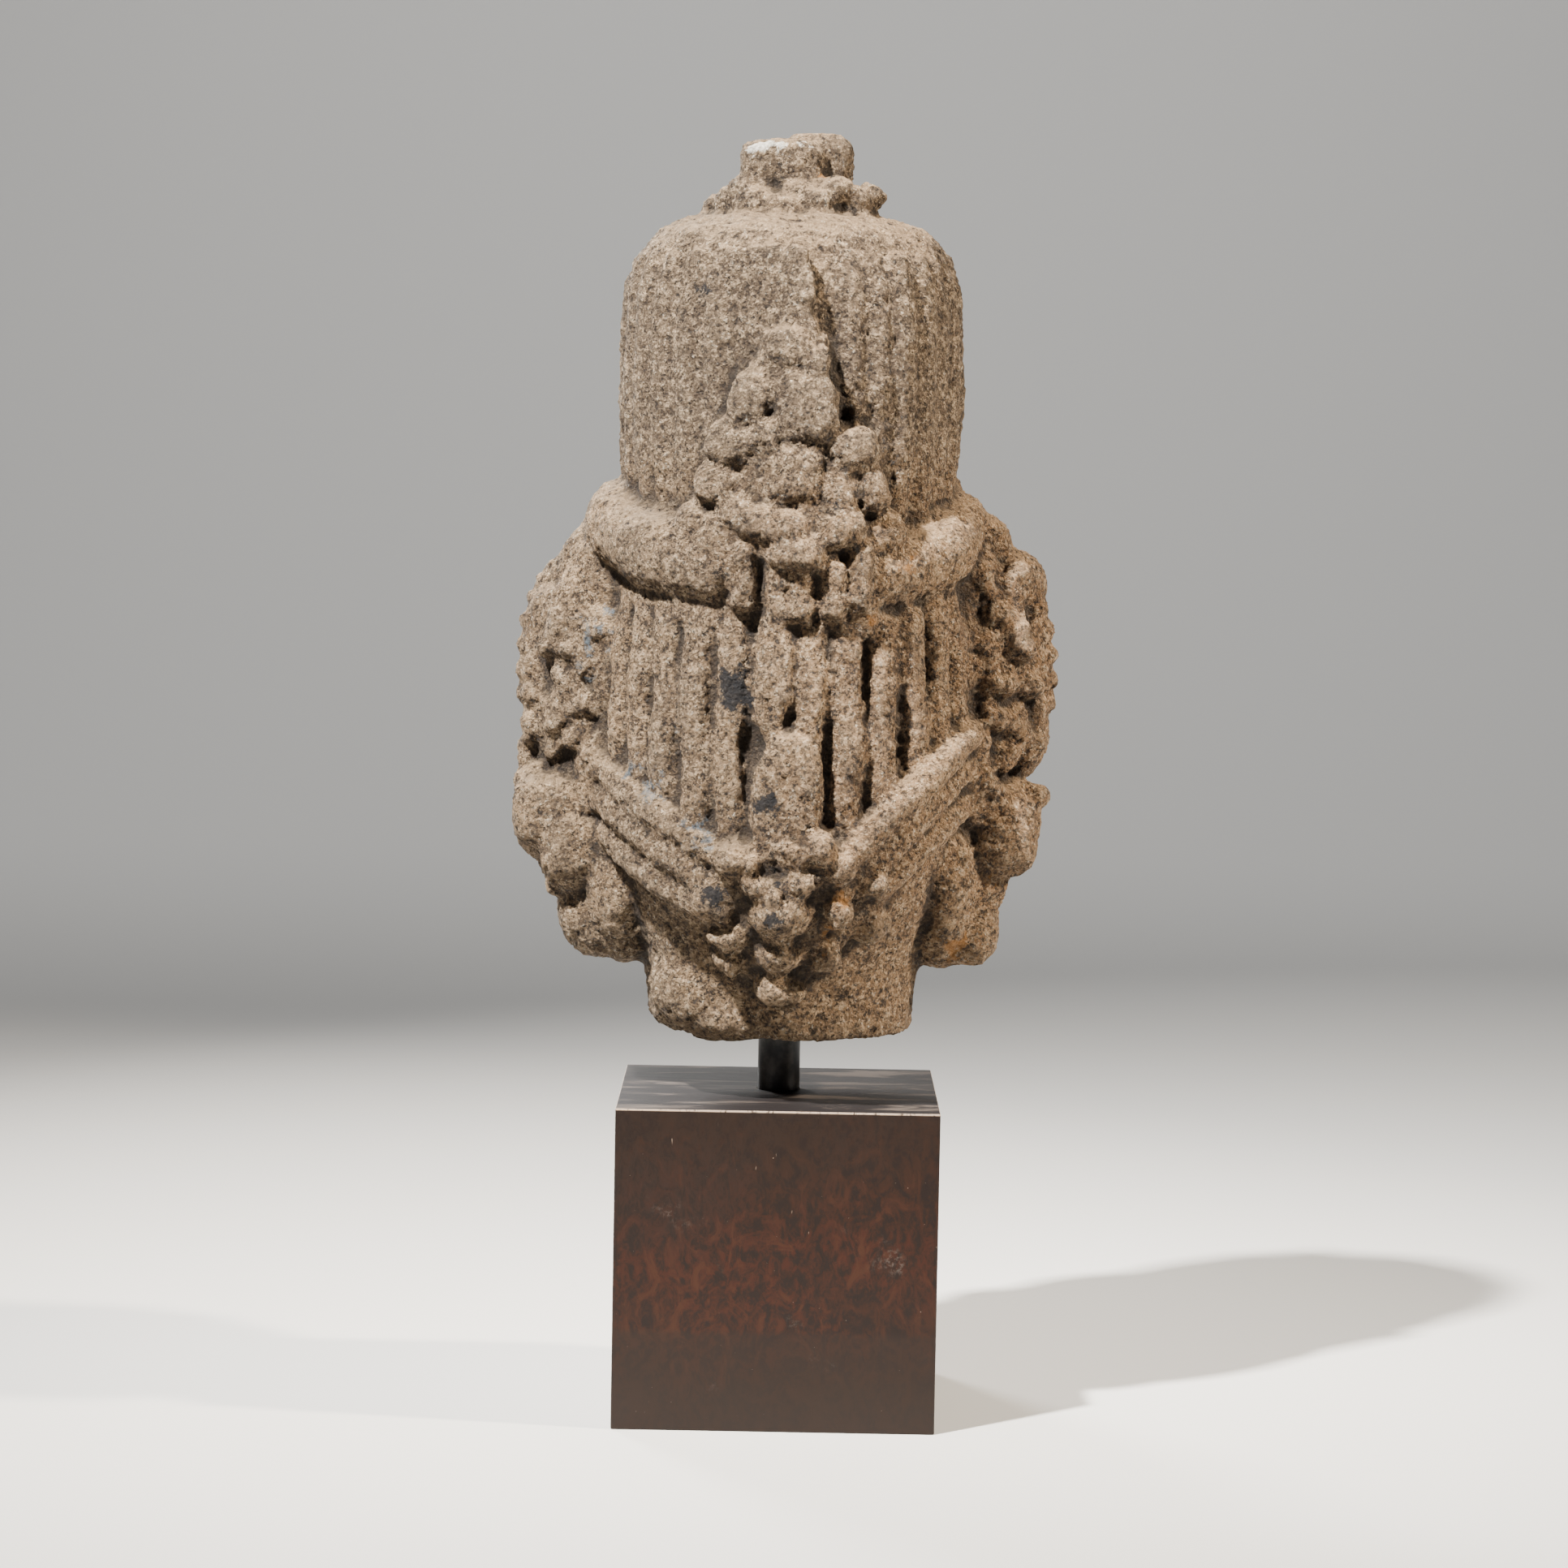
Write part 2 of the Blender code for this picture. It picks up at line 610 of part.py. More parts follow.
def build_stone_head(material):
    stone = Carving()
    carve_head_mass(stone)
    carve_strands(stone)
    carve_roll(stone)
    carve_chignon(stone)
    carve_knob(stone)
    carve_chignon_garland(stone)
    carve_sash_knot(stone)
    carve_nape_ribbons(stone)
    carve_nape_flowers(stone)
    for hand in (-1, 1):
        carve_side_plaque(stone, hand)
        carve_ear(stone, hand)
    carve_face(stone)
    carve_diadem(stone)
    carve_chignon_front(stone)

    head = new_object("stone_head", mesh_from(stone.forms, "stone_head"), material)
    fuse = head.modifiers.new("fuse", "REMESH")
    fuse.mode = "VOXEL"
    fuse.voxel_size = CARVING_GRID
    fuse.use_smooth_shade = True
    wear = head.modifiers.new("wear", "SMOOTH")
    wear.factor = 0.5
    wear.iterations = 1
    evaluated_copy(head)
    keep_outer_skin(head.data)

    # To its real height, standing on its foot
    heights = [vert.co.z for vert in head.data.vertices]
    share = STONE_HEIGHT / (max(heights) - min(heights))
    to_foot = Matrix.Translation((0, 0, -min(heights)))
    head.data.transform(Matrix.Translation((0, 0, STONE_FOOT)) @ Matrix.Scale(share, 4) @ to_foot)
    triangles = sum(len(face.vertices) - 2 for face in head.data.polygons)
    thin = head.modifiers.new("thin", "DECIMATE")
    thin.ratio = STONE_TRIANGLES / triangles
    socket_top = STONE_FOOT + ROD_IN_STONE + SOCKET_CLEARANCE
    cut(head, add_cutter("stone_socket", SOCKET_DIAMETER, STONE_FOOT - ROD_SHOWING / 2, socket_top))
    head.data.materials.clear()
    head.data.materials.append(material)
    return head


def build_mounting_rod(material):
    low = BLOCK_HEIGHT - ROD_IN_BLOCK
    high = STONE_FOOT + ROD_IN_STONE
    mesh = cylinder_mesh("mounting_rod", ROD_DIAMETER, low, high, ROD_CHAMFER)
    return new_object("mounting_rod", mesh, material)


def build_base_block(material):
    shape = bmesh.new()
    size = Matrix.Diagonal((BLOCK_SIDE, BLOCK_SIDE, BLOCK_HEIGHT, 1.0))
    bmesh.ops.create_cube(shape, size=1.0, matrix=Matrix.Translation((0, 0, BLOCK_HEIGHT / 2)) @ size)
    block = new_object("base_block", mesh_from(shape, "base_block"), material)
    socket_foot = BLOCK_HEIGHT - ROD_IN_BLOCK - SOCKET_CLEARANCE
    socket = add_cutter("block_socket", SOCKET_DIAMETER, socket_foot, BLOCK_HEIGHT + ROD_SHOWING / 2)
    edges = block.modifiers.new("edges", "BEVEL")
    edges.width = BLOCK_EDGE_BEVEL
    edges.segments = 1
    cut(block, socket)
    return block


def main():
    clear_scene()
    stone = new_material("stone", (0.36, 0.29, 0.22), 0.95, 0.0)
    steel = new_material("blackened_steel", (0.05, 0.05, 0.055), 0.35, 1.0)
    bronze = new_material("patinated_bronze", (0.11, 0.06, 0.045), 0.35, 0.8)
    build_stone_head(stone)
    build_mounting_rod(steel)
    build_base_block(bronze)


main()
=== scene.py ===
# A weathered stone bodhisattva head on a blackened rod and a patinated metal block.
# The face looks towards -Y, so the camera sees the nape, with its hair roll, ribbons and flowers.
import math
import random

import bmesh
import bpy
import numpy as np
from mathutils import Matrix, Vector


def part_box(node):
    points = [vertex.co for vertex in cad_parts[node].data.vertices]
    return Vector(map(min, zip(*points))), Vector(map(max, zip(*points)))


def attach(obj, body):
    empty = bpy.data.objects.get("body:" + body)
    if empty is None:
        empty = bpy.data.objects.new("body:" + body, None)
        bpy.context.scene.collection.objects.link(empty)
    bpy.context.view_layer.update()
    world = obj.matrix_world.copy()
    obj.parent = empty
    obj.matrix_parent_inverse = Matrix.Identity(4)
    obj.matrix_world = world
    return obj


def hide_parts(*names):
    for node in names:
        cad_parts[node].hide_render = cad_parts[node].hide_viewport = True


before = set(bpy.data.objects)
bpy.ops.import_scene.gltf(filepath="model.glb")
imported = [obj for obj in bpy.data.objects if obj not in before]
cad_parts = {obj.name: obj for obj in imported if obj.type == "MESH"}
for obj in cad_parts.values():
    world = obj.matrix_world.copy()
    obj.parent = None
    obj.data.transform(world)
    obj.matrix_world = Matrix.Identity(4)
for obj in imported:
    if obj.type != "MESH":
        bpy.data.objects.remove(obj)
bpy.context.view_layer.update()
stoneLow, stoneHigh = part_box("stone_head")
blockLow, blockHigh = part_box("base_block")
rodLow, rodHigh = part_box("mounting_rod")
unit = (stoneHigh.z - stoneLow.z) / 100  # carving is in hundredths of the stone's height


class Wire:  # a node's output, so that sums on it can be written as Python
    def __init__(self, sheet, socket):
        self.sheet = sheet
        self.socket = socket

    def maths(self, operation, *values):
        return self.sheet.node("ShaderNodeMath", {"operation": operation}, values)

    def __abs__(self):
        return self.maths("ABSOLUTE", self)

    def clamped(self):
        return self.sheet.node("ShaderNodeClamp", {}, [self])

    def ramped(self, low, high):  # 0 at low, 1 at high, smooth between
        settings = {"interpolation_type": "SMOOTHSTEP"}
        return self.sheet.node("ShaderNodeMapRange", settings, [self, low, high, 0.0, 1.0])


def wireOperator(operation, turned):
    if turned:
        return lambda wire, other: wire.maths(operation, other, wire)
    return lambda wire, other: wire.maths(operation, wire, other)


for sign, operation in (
    ("add", "ADD"), ("sub", "SUBTRACT"), ("mul", "MULTIPLY"), ("truediv", "DIVIDE"),
    ("pow", "POWER"),
):
    setattr(Wire, "__" + sign + "__", wireOperator(operation, False))
    setattr(Wire, "__r" + sign + "__", wireOperator(operation, True))


class Sheet:  # a node tree, of a material or of geometry
    def __init__(self, tree):
        self.tree = tree

    def node(self, kind, settings=(), values=(), out=0):
        made = self.tree.nodes.new(kind)
        for name, value in dict(settings).items():
            setattr(made, name, value)
        pairs = values.items() if isinstance(values, dict) else enumerate(values)
        for place, value in pairs:
            if isinstance(value, Wire):
                self.tree.links.new(value.socket, made.inputs[place])
            else:
                made.inputs[place].default_value = value
        return Wire(self, made.outputs[out])

    def mix(self, share, first, second):
        first, second = (c if isinstance(c, Wire) else (*c, 1.0) for c in (first, second))
        colours = {0: share, 6: first, 7: second}
        return self.node("ShaderNodeMix", {"data_type": "RGBA"}, colours, out=2)

    def layered(self, colour, palette, layers):  # each layer covers it as far as its mask says
        for mask, name in layers:
            colour = self.mix(mask, colour, palette[name])
        return colour

    def noise(self, place, scale, detail=4.0, roughness=0.55, distortion=0.0):
        values = {"Vector": place, "Scale": scale, "Detail": detail}
        values.update({"Roughness": roughness, "Distortion": distortion})
        return self.node("ShaderNodeTexNoise", {}, values)

    def cells(self, place, scale, feature="F1", out="Distance"):
        values = {"Vector": place, "Scale": scale}
        return self.node("ShaderNodeTexVoronoi", {"feature": feature}, values, out)

    def axis(self, vector, number):  # x, y or z for 0, 1 or 2
        return self.node("ShaderNodeSeparateXYZ", {}, [vector], out=number)

    def channel(self, colour, number):  # red, green or blue for 0, 1 or 2
        return self.node("ShaderNodeSeparateColor", {}, [colour], out=number)

    def vectorMath(self, operation, values):
        return self.node("ShaderNodeVectorMath", {"operation": operation}, values)

    def stretched(self, place, scale, rotation=(0.0, 0.0, 0.0)):
        values = {"Vector": place, "Rotation": rotation, "Scale": scale}
        return self.node("ShaderNodeMapping", {}, values)

    def bump(self, strength, distance, height):
        values = {"Strength": strength, "Distance": distance, "Height": height}
        return self.node("ShaderNodeBump", {}, values)

    def named(self, name, kind="FLOAT_VECTOR"):  # what a guide point or line carries under a name
        return self.node("GeometryNodeInputNamedAttribute", {"data_type": kind}, {"Name": name})

    def ball(self, radius, fineness):
        values = {"Radius": radius, "Subdivisions": fineness}
        return self.node("GeometryNodeMeshIcoSphere", {}, values)


def newGeometrySheet(name, inputs):
    tree = bpy.data.node_groups.new(name, "GeometryNodeTree")
    tree.interface.new_socket(name="Shape", in_out="OUTPUT", socket_type="NodeSocketGeometry")
    tree.interface.new_socket(name="Geometry", in_out="INPUT", socket_type="NodeSocketGeometry")
    for inputName, kind in inputs.items():
        tree.interface.new_socket(name=inputName, in_out="INPUT", socket_type="NodeSocket" + kind)
    sheet = Sheet(tree)
    way = tree.nodes.new("NodeGroupInput")
    return sheet, {socket.name: Wire(sheet, socket) for socket in way.outputs if socket.name}


def closeSheet(sheet, shape, material):
    shape = sheet.node("GeometryNodeRealizeInstances", {}, [shape])
    shape = sheet.node("GeometryNodeSetMaterial", {}, {"Geometry": shape, "Material": material})
    end = sheet.tree.nodes.new("NodeGroupOutput")
    sheet.tree.links.new(shape.socket, end.inputs[0])
    return sheet.tree


def workedOut(thing):  # the object's mesh with its modifiers in it
    graph = bpy.context.evaluated_depsgraph_get()
    mesh = bpy.data.meshes.new_from_object(thing.evaluated_get(graph))
    thing.modifiers.clear()
    return mesh


def newObject(name, mesh):
    thing = bpy.data.objects.new(name, mesh)
    bpy.context.scene.collection.objects.link(thing)
    return thing


def runTree(tree, mesh, settings):
    thing = newObject(tree.name, mesh)
    step = thing.modifiers.new(tree.name, "NODES")
    step.node_group = tree
    for socket in tree.interface.items_tree:
        if socket.in_out == "INPUT" and socket.name in settings:
            step[socket.identifier] = settings[socket.name]
    made = workedOut(thing)
    bpy.data.objects.remove(thing)
    return made


def makeCordTree():  # a round cord along each guide line, as thick as the line's girth says
    sheet, given = newGeometrySheet("cordsAlongLines", {"Sides": "Int", "Material": "Material"})
    line = sheet.node("GeometryNodeMeshToCurve", {}, [given["Geometry"]])
    ring = {"Resolution": given["Sides"], "Radius": 1.0}
    profile = sheet.node("GeometryNodeCurvePrimitiveCircle", {}, ring)
    girth = sheet.named("girth", "FLOAT")
    values = {"Curve": line, "Profile Curve": profile, "Scale": girth, "Fill Caps": True}
    return closeSheet(sheet, sheet.node("GeometryNodeCurveToMesh", {}, values), given["Material"])


def makeLumpTree():  # a rounded lump on each point, with the point's own radii and directions
    inputs = {"Squareness": "Float", "Fineness": "Int", "Material": "Material"}
    sheet, given = newGeometrySheet("lumpsOnPoints", inputs)
    ball = sheet.ball(1.0, given["Fineness"])
    place = sheet.node("GeometryNodeInputPosition")
    x, y, z = (abs(sheet.axis(place, number)) ** given["Squareness"] for number in range(3))
    reach = (x + y + z) ** (1.0 / given["Squareness"])
    squared = sheet.vectorMath("SCALE", {0: place, 3: 1.0 / reach})
    ball = sheet.node("GeometryNodeSetPosition", {}, {"Geometry": ball, "Position": squared})
    across, out, radii = (sheet.named(name) for name in ("across", "out", "radii"))
    axes = {"primary_axis": "Z", "secondary_axis": "X"}
    turn = sheet.node("FunctionNodeAxesToRotation", axes, [out, across])
    values = {"Points": given["Geometry"], "Instance": ball, "Rotation": turn, "Scale": radii}
    lumps = sheet.node("GeometryNodeInstanceOnPoints", {}, values)
    return closeSheet(sheet, lumps, given["Material"])


def makeBeadTree():  # beads strung along each guide line, with a little unevenness
    inputs = {
        "Bead Radius": "Float", "Count": "Int", "Unevenness": "Float", "Seed": "Int",
        "Material": "Material",
    }
    sheet, given = newGeometrySheet("beadsAlongLines", inputs)
    line = sheet.node("GeometryNodeMeshToCurve", {}, [given["Geometry"]])
    values = {"Curve": line, "Count": given["Count"]}
    points = sheet.node("GeometryNodeCurveToPoints", {"mode": "COUNT"}, values)
    ball = sheet.ball(given["Bead Radius"], 3)
    size = sheet.node("FunctionNodeRandomValue", {"data_type": "FLOAT"}, {
        2: 1.0 - given["Unevenness"], 3: 1.0 + given["Unevenness"], "Seed": given["Seed"],
    }, out=1)
    values = {"Points": points, "Instance": ball, "Scale": size}
    beads = sheet.node("GeometryNodeInstanceOnPoints", {}, values)
    return closeSheet(sheet, beads, given["Material"])


def makeWeatherTree():  # wears a surface with swells, lumps, grains and flaked pits
    kinds = ("Swell", "Lump", "Grain", "Pit")
    inputs = {name: "Float" for kind in kinds for name in (kind, kind + " Depth")}
    inputs.update({"Seed": "Float", "Material": "Material"})
    sheet, given = newGeometrySheet("weatherSurface", inputs)
    origin = sheet.node("GeometryNodeInputPosition")
    shift = sheet.node("ShaderNodeCombineXYZ", {}, [given["Seed"]] * 3)
    place = sheet.vectorMath("ADD", [origin, shift])
    swell = sheet.noise(place, given["Swell"], 3.0, 0.5) - 0.5
    lump = sheet.noise(place, given["Lump"], 3.0, 0.55, 0.3) - 0.5
    grain = sheet.noise(place, given["Grain"], 4.0, 0.7, 0.5) - 0.5
    cobbles = sheet.cells(place, given["Lump"] * 1.7, "SMOOTH_F1") - 0.4
    flaked = sheet.noise(place, given["Swell"] * 1.9, 4.0, 0.6).ramped(0.42, 0.62)
    pits = sheet.noise(place, given["Pit"], 4.0, 0.65).ramped(0.56, 0.7)
    rise = swell * given["Swell Depth"] + lump * given["Lump Depth"] * (0.6 + 0.7 * flaked)
    rise = rise + grain * given["Grain Depth"] * (0.7 + 0.5 * flaked)
    rise = rise - cobbles * given["Lump Depth"] * 0.3
    rise = rise - pits * given["Pit Depth"] * (0.4 + 0.8 * flaked)
    forwards = sheet.axis(origin, 1).ramped(-0.020, -0.045)
    rise = rise * (1.0 - forwards * 0.62)  # the front is finer cut and less worn
    normal = sheet.node("GeometryNodeInputNormal")
    offset = sheet.vectorMath("SCALE", {0: normal, 3: rise})
    values = {"Geometry": given["Geometry"], "Offset": offset}
    shape = sheet.node("GeometryNodeSetPosition", {}, values)
    return closeSheet(sheet, shape, given["Material"])


# "side" runs to the viewer's right, "back" towards the viewer, and "up" from the broken neck
def at(side, back, up):
    return Vector((-side, back, up))


def smoothValue(before, start, end, after, t):  # a smooth curve through start and end
    riseIn = (end - before) / 2
    riseOut = (after - start) / 2
    bend = (2 * (start - end) + riseIn + riseOut) * t + 3 * (end - start) - 2 * riseIn - riseOut
    return (bend * t + riseIn) * t + start


def turnsRound(count):  # evenly spaced angles
    return [2 * math.pi * k / count for k in range(count)]


def blend(stations, up):  # a station's measures at any height
    last = len(stations) - 1
    below = 0
    while below < last - 1 and stations[below + 1][0] < up:
        below += 1
    around = [stations[min(max(below + step, 0), last)] for step in (-1, 0, 1, 2)]
    t = min(max((up - around[1][0]) / (around[2][0] - around[1][0]), 0.0), 1.0)
    return [smoothValue(*four, t) for four in zip(*(station[1:] for station in around))]


def smoothLine(points, steps):
    line = []
    for i in range(len(points) - 1):
        four = points[max(i - 1, 0)], points[i], points[i + 1], points[min(i + 2, len(points) - 1)]
        line += [smoothValue(*four, step / steps) for step in range(steps)]
    return line + [points[-1]]


headForm = {
    # up, half width, depth behind the rod, depth in front of it
    "stations": (
        (0.3, 14.8, 13.6, 12.0), (5.0, 15.0, 13.8, 11.6), (10.0, 16.2, 15.4, 12.4),
        (16.0, 18.2, 18.0, 14.4), (24.0, 19.8, 20.3, 16.0), (34.0, 20.4, 20.9, 18.0),
        (44.0, 20.0, 20.4, 18.6), (52.0, 18.6, 18.8, 17.4), (60.0, 16.2, 16.4, 15.6),
    ),
    # the lump that fills out the broken neck on its left: side, back, up, radii
    "neckSwelling": ((-5.6, 7.0, 5.8, 9.0, 5.2, 6.4),),
    # how deep the bed of the locks lies, how much less so on the left, and the heights over which
    # it comes up to the ribbons below and the roll above
    "bedDepth": 0.8, "leftBed": 0.35, "ribbonFade": 3.0, "rollFade": 2.2,
    # the broken foot is rounded off below this height, more so on the left
    "footRound": 1.7, "footLoss": 0.3, "leftFootLoss": 1.2,
    "locks": 30, "firstLock": math.radians(7.3), "lockSteps": 24,
    "lockGirth": 1.14, "lockHalf": 0.52, "lockLift": -0.05,
    "lockWander": math.radians(0.6), "lockWear": 0.12, "leftLockWear": 0.35,
}
# The ribbons' upper edge: its height at the nape, its slopes, and its end behind the ears
ribbonEdge = {
    "nape": 18.4, "reach": 20.0, "leftSlope": -0.72, "rightSlope": 0.98, "behindEars": 34.0,
}
chignonForm = {
    # up, radius
    "stations": (
        (54.0, 17.6), (60.0, 18.0), (67.0, 18.4), (75.0, 18.5), (81.0, 18.2), (85.0, 17.5),
        (88.0, 16.2), (89.8, 14.0), (90.6, 11.0), (91.2, 7.5),
    ),
}


def onHead(angle, up, lift=0.0):
    halfWidth, behind, front = blend(headForm["stations"], up)
    depth = behind if math.cos(angle) > 0 else front
    return at((halfWidth + lift) * math.sin(angle), (depth + lift) * math.cos(angle), up)


def onChignon(angle, up, lift=0.0):
    radius = blend(chignonForm["stations"], up)[0] + lift
    return at(radius * math.sin(angle), radius * math.cos(angle), up)


def axesOn(surface, angle, up, lift=0.0):  # a place, and the directions across, along and out of it
    here = surface(angle, up, lift)
    across = (surface(angle + 0.01, up, lift) - here).normalized()
    along = (surface(angle, up + 0.1, lift) - here).normalized()
    out = across.cross(along).normalized()
    return here, across, out.cross(across), out


def angleAt(surface, side, up):
    halfWidth = -surface(math.pi / 2, up).x
    return math.asin(max(-0.99, min(0.99, side / halfWidth)))


def ribbonHeight(angle):
    side = ribbonEdge["reach"] * math.sin(angle)
    if math.cos(angle) < 0.1:
        return ribbonEdge["behindEars"]
    return ribbonEdge["nape"] + ribbonEdge["rightSlope" if side > 0 else "leftSlope"] * side


rollForm = {
    "height": 57.0, "leftSink": 5.2, "rightSink": 6.4,
    "ring": 18.3, "leftGirth": 4.45, "rightGirth": 3.9, "leftEnd": -16.5, "rightEnd": 24.0,
    "steps": 90, "endShrink": 0.86,
    # drop, shrink and thickness of its two rings: the second fills the slope to the chignon
    "rings": ((0.0, 0.0, 1.0), (1.6, 2.2, 0.9)),
    # a filled corner under its left half: start and step in degrees, count, and girth
    "ledge": (-84.0, 4.2, 19, 1.9),
    # slopes that join its ends to the bunch: side, back, up, radii
    "slopes": (
        (-6.8, 17.6, 54.2, 4.2, 3.8, 3.8), (-8.6, 16.4, 56.8, 3.8, 3.2, 3.2),
        (-4.6, 18.0, 52.0, 2.4, 3.0, 4.6), (9.4, 16.2, 56.0, 3.4, 3.0, 3.2),
        (-6.9, 18.9, 56.4, 2.6, 2.5, 2.4), (-4.9, 19.9, 53.4, 2.0, 2.2, 3.0),
    ),
}


def rollHeight(angle):
    sink = rollForm["leftSink" if math.sin(angle) < 0 else "rightSink"]
    return rollForm["height"] - sink * max(0.0, math.cos(angle))


def hairBed(angle, up):
    aboveRibbon = (up - ribbonHeight(angle)) / headForm["ribbonFade"]
    underRoll = (rollHeight(angle) - rollForm["rightGirth"] - 0.4 - up) / headForm["rollFade"]
    leftwards = max(0.0, math.sin(-angle)) ** 0.5
    sunk = headForm["bedDepth"] * min(max(aboveRibbon, 0.0), 1.0)
    sunk *= min(max(underRoll, 0.0), 1.0)
    sunk *= 1.0 - headForm["leftBed"] * leftwards
    loss = headForm["footLoss"] + headForm["leftFootLoss"] * leftwards
    return onHead(angle, up, -sunk - max(0.0, headForm["footRound"] - up) * loss)


class Carving:  # collects overlapping closed forms, which are then fused into one stone
    def __init__(self):
        self.lumps = {2.0: [], 3.0: [], 4.0: []}
        self.lines = []
        self.beads = []
        self.solids = bmesh.new()

    def lump(self, centre, radii, axes=None, squareness=2.0):
        across, _, out = axes or (Vector((1, 0, 0)), None, Vector((0, 0, 1)))
        self.lumps[squareness].append((centre, radii, across, out))

    def lumpRows(self, rows, squareness=2.0):  # side, back, up, radii
        for side, back, up, *radii in rows:
            self.lump(at(side, back, up), radii, squareness=squareness)

    def boss(
        self, surface, side, up, width, height, proud,
        tilt=0.0, lift=0.0, lean=0.0, roll=0.0, squareness=2.0,
    ):
        here, across, along, out = axesOn(surface, angleAt(surface, side, up), up, lift)
        turn = Matrix.Rotation(math.radians(-tilt), 3, out)
        across, along = turn @ across, turn @ along
        # A leaning boss stands out at its lower end
        turn = Matrix.Rotation(math.radians(-lean), 3, across)
        along, out = turn @ along, turn @ out
        # and a rolled one at its left or right end
        turn = Matrix.Rotation(math.radians(roll), 3, along)
        axes = (turn @ across, along, turn @ out)
        self.lump(here, (width / 2, height / 2, proud), axes, squareness)

    def cord(self, points, girth, taper=0.6, steps=4):
        line = smoothLine([Vector(point) for point in points], steps) if steps > 1 else list(points)
        last = len(line) - 1
        girths = []
        for i in range(len(line)):
            share = min(i, last - i) / max(last / 2, 1)
            girths.append(girth * (taper + (1 - taper) * math.sqrt(min(1.0, share * 2.5))))
        self.lines.append((line, girths))

    def cordOn(self, surface, places, girth, lift=0.0, taper=0.7, steps=6):
        flat = smoothLine([Vector((side, up, 0.0)) for side, up in places], steps)
        line = [surface(angleAt(surface, place.x, place.y), place.y, lift) for place in flat]
        self.cord(line, girth, taper, 1)

    def bead(self, points, radius, count, seed):
        self.beads.append((list(points), radius, count, seed))

    def rings(self, rings):
        loops = [[self.solids.verts.new(point) for point in ring] for ring in rings]
        for lower, upper in zip(loops, loops[1:]):
            for i in range(len(lower)):
                j = (i + 1) % len(lower)
                self.solids.faces.new((lower[i], lower[j], upper[j], upper[i]))
        self.solids.faces.new(loops[0][::-1])
        self.solids.faces.new(loops[-1])

    def stack(self, surface, low, high, levels, sides=120):
        ups = [low + (high - low) * level / levels for level in range(levels + 1)]
        self.rings([[surface(turn, up) for turn in turnsRound(sides)] for up in ups])

    def leaf(self, foot, axes, width, height, thickness, levels=20, sides=28):
        across, along, out = axes
        rings = []
        for level in range(levels + 1):
            t = level / levels
            swell = 0.55 + 0.45 * math.sin(math.pi * min(t / 0.36, 1.0) / 2)
            narrow = math.cos(math.pi / 2 * max(0.0, (t - 0.36) / 0.68)) ** 0.8
            ring = []
            for turn in turnsRound(sides):
                ridge = (0.75 + 0.25 * abs(math.sin(turn)) ** 3) * (0.45 + 0.55 * narrow)
                reach = across * math.cos(turn) * width / 2 * swell * narrow
                proud = out * math.sin(turn) * thickness * ridge
                ring.append(foot + along * height * t + reach + proud)
            rings.append(ring)
        self.rings(rings)

    def fused(self, voxel, crevices, rubbing):
        stone = bmesh.new()
        parts = [solidMesh(self.solids)]
        cords, lumps, strung = makeCordTree(), makeLumpTree(), makeBeadTree()
        parts.append(runTree(cords, self.lineMesh(self.lines), {"Sides": 20}))
        for squareness, rows in self.lumps.items():
            settings = {"Squareness": squareness, "Fineness": 4}
            parts.append(runTree(lumps, self.pointMesh(rows), settings))
        for points, radius, count, seed in self.beads:
            guide = self.lineMesh([(points, [radius] * len(points))])
            settings = {"Bead Radius": radius, "Count": count, "Unevenness": 0.1, "Seed": seed}
            parts.append(runTree(strung, guide, settings))
        for part in parts:
            stone.from_mesh(part)
        fusing = newObject("fusing", solidMesh(stone))
        # Swelling and then shrinking fills the narrow crevices
        for step, swell in (("fuse", crevices), ("fuseAgain", -crevices)):
            fuse = fusing.modifiers.new(step, "REMESH")
            fuse.mode = "VOXEL"
            fuse.voxel_size = voxel
            grow = fusing.modifiers.new(step + "Swell", "DISPLACE")
            grow.strength = swell
            grow.mid_level = 0.0
        rub = fusing.modifiers.new("rub", "SMOOTH")
        rub.factor = 0.5
        rub.iterations = rubbing
        mesh = workedOut(fusing)
        bpy.data.objects.remove(fusing)
        return mesh

    def lineMesh(self, lines):
        mesh = bpy.data.meshes.new("guideLines")
        points, edges, girths = [], [], []
        for line, lineGirths in lines:
            edges += [(len(points) + i, len(points) + i + 1) for i in range(len(line) - 1)]
            points += line
            girths += lineGirths
        mesh.from_pydata(points, edges, [])
        mesh.attributes.new("girth", "FLOAT", "POINT").data.foreach_set("value", girths)
        return mesh

    def pointMesh(self, rows):
        mesh = bpy.data.meshes.new("guidePoints")
        mesh.from_pydata([row[0] for row in rows], [], [])
        for name, column in (("radii", 1), ("across", 2), ("out", 3)):
            values = np.array([tuple(row[column]) for row in rows], np.float32).ravel()
            mesh.attributes.new(name, "FLOAT_VECTOR", "POINT").data.foreach_set("vector", values)
        return mesh


def solidMesh(solids):
    bmesh.ops.recalc_face_normals(solids, faces=solids.faces)
    mesh = bpy.data.meshes.new("solids")
    solids.to_mesh(mesh)
    solids.free()
    return mesh


def carveHeadMass(stone):
    stone.stack(hairBed, headForm["stations"][0][0], headForm["stations"][-1][0], 60)
    stone.lumpRows(headForm["neckSwelling"])


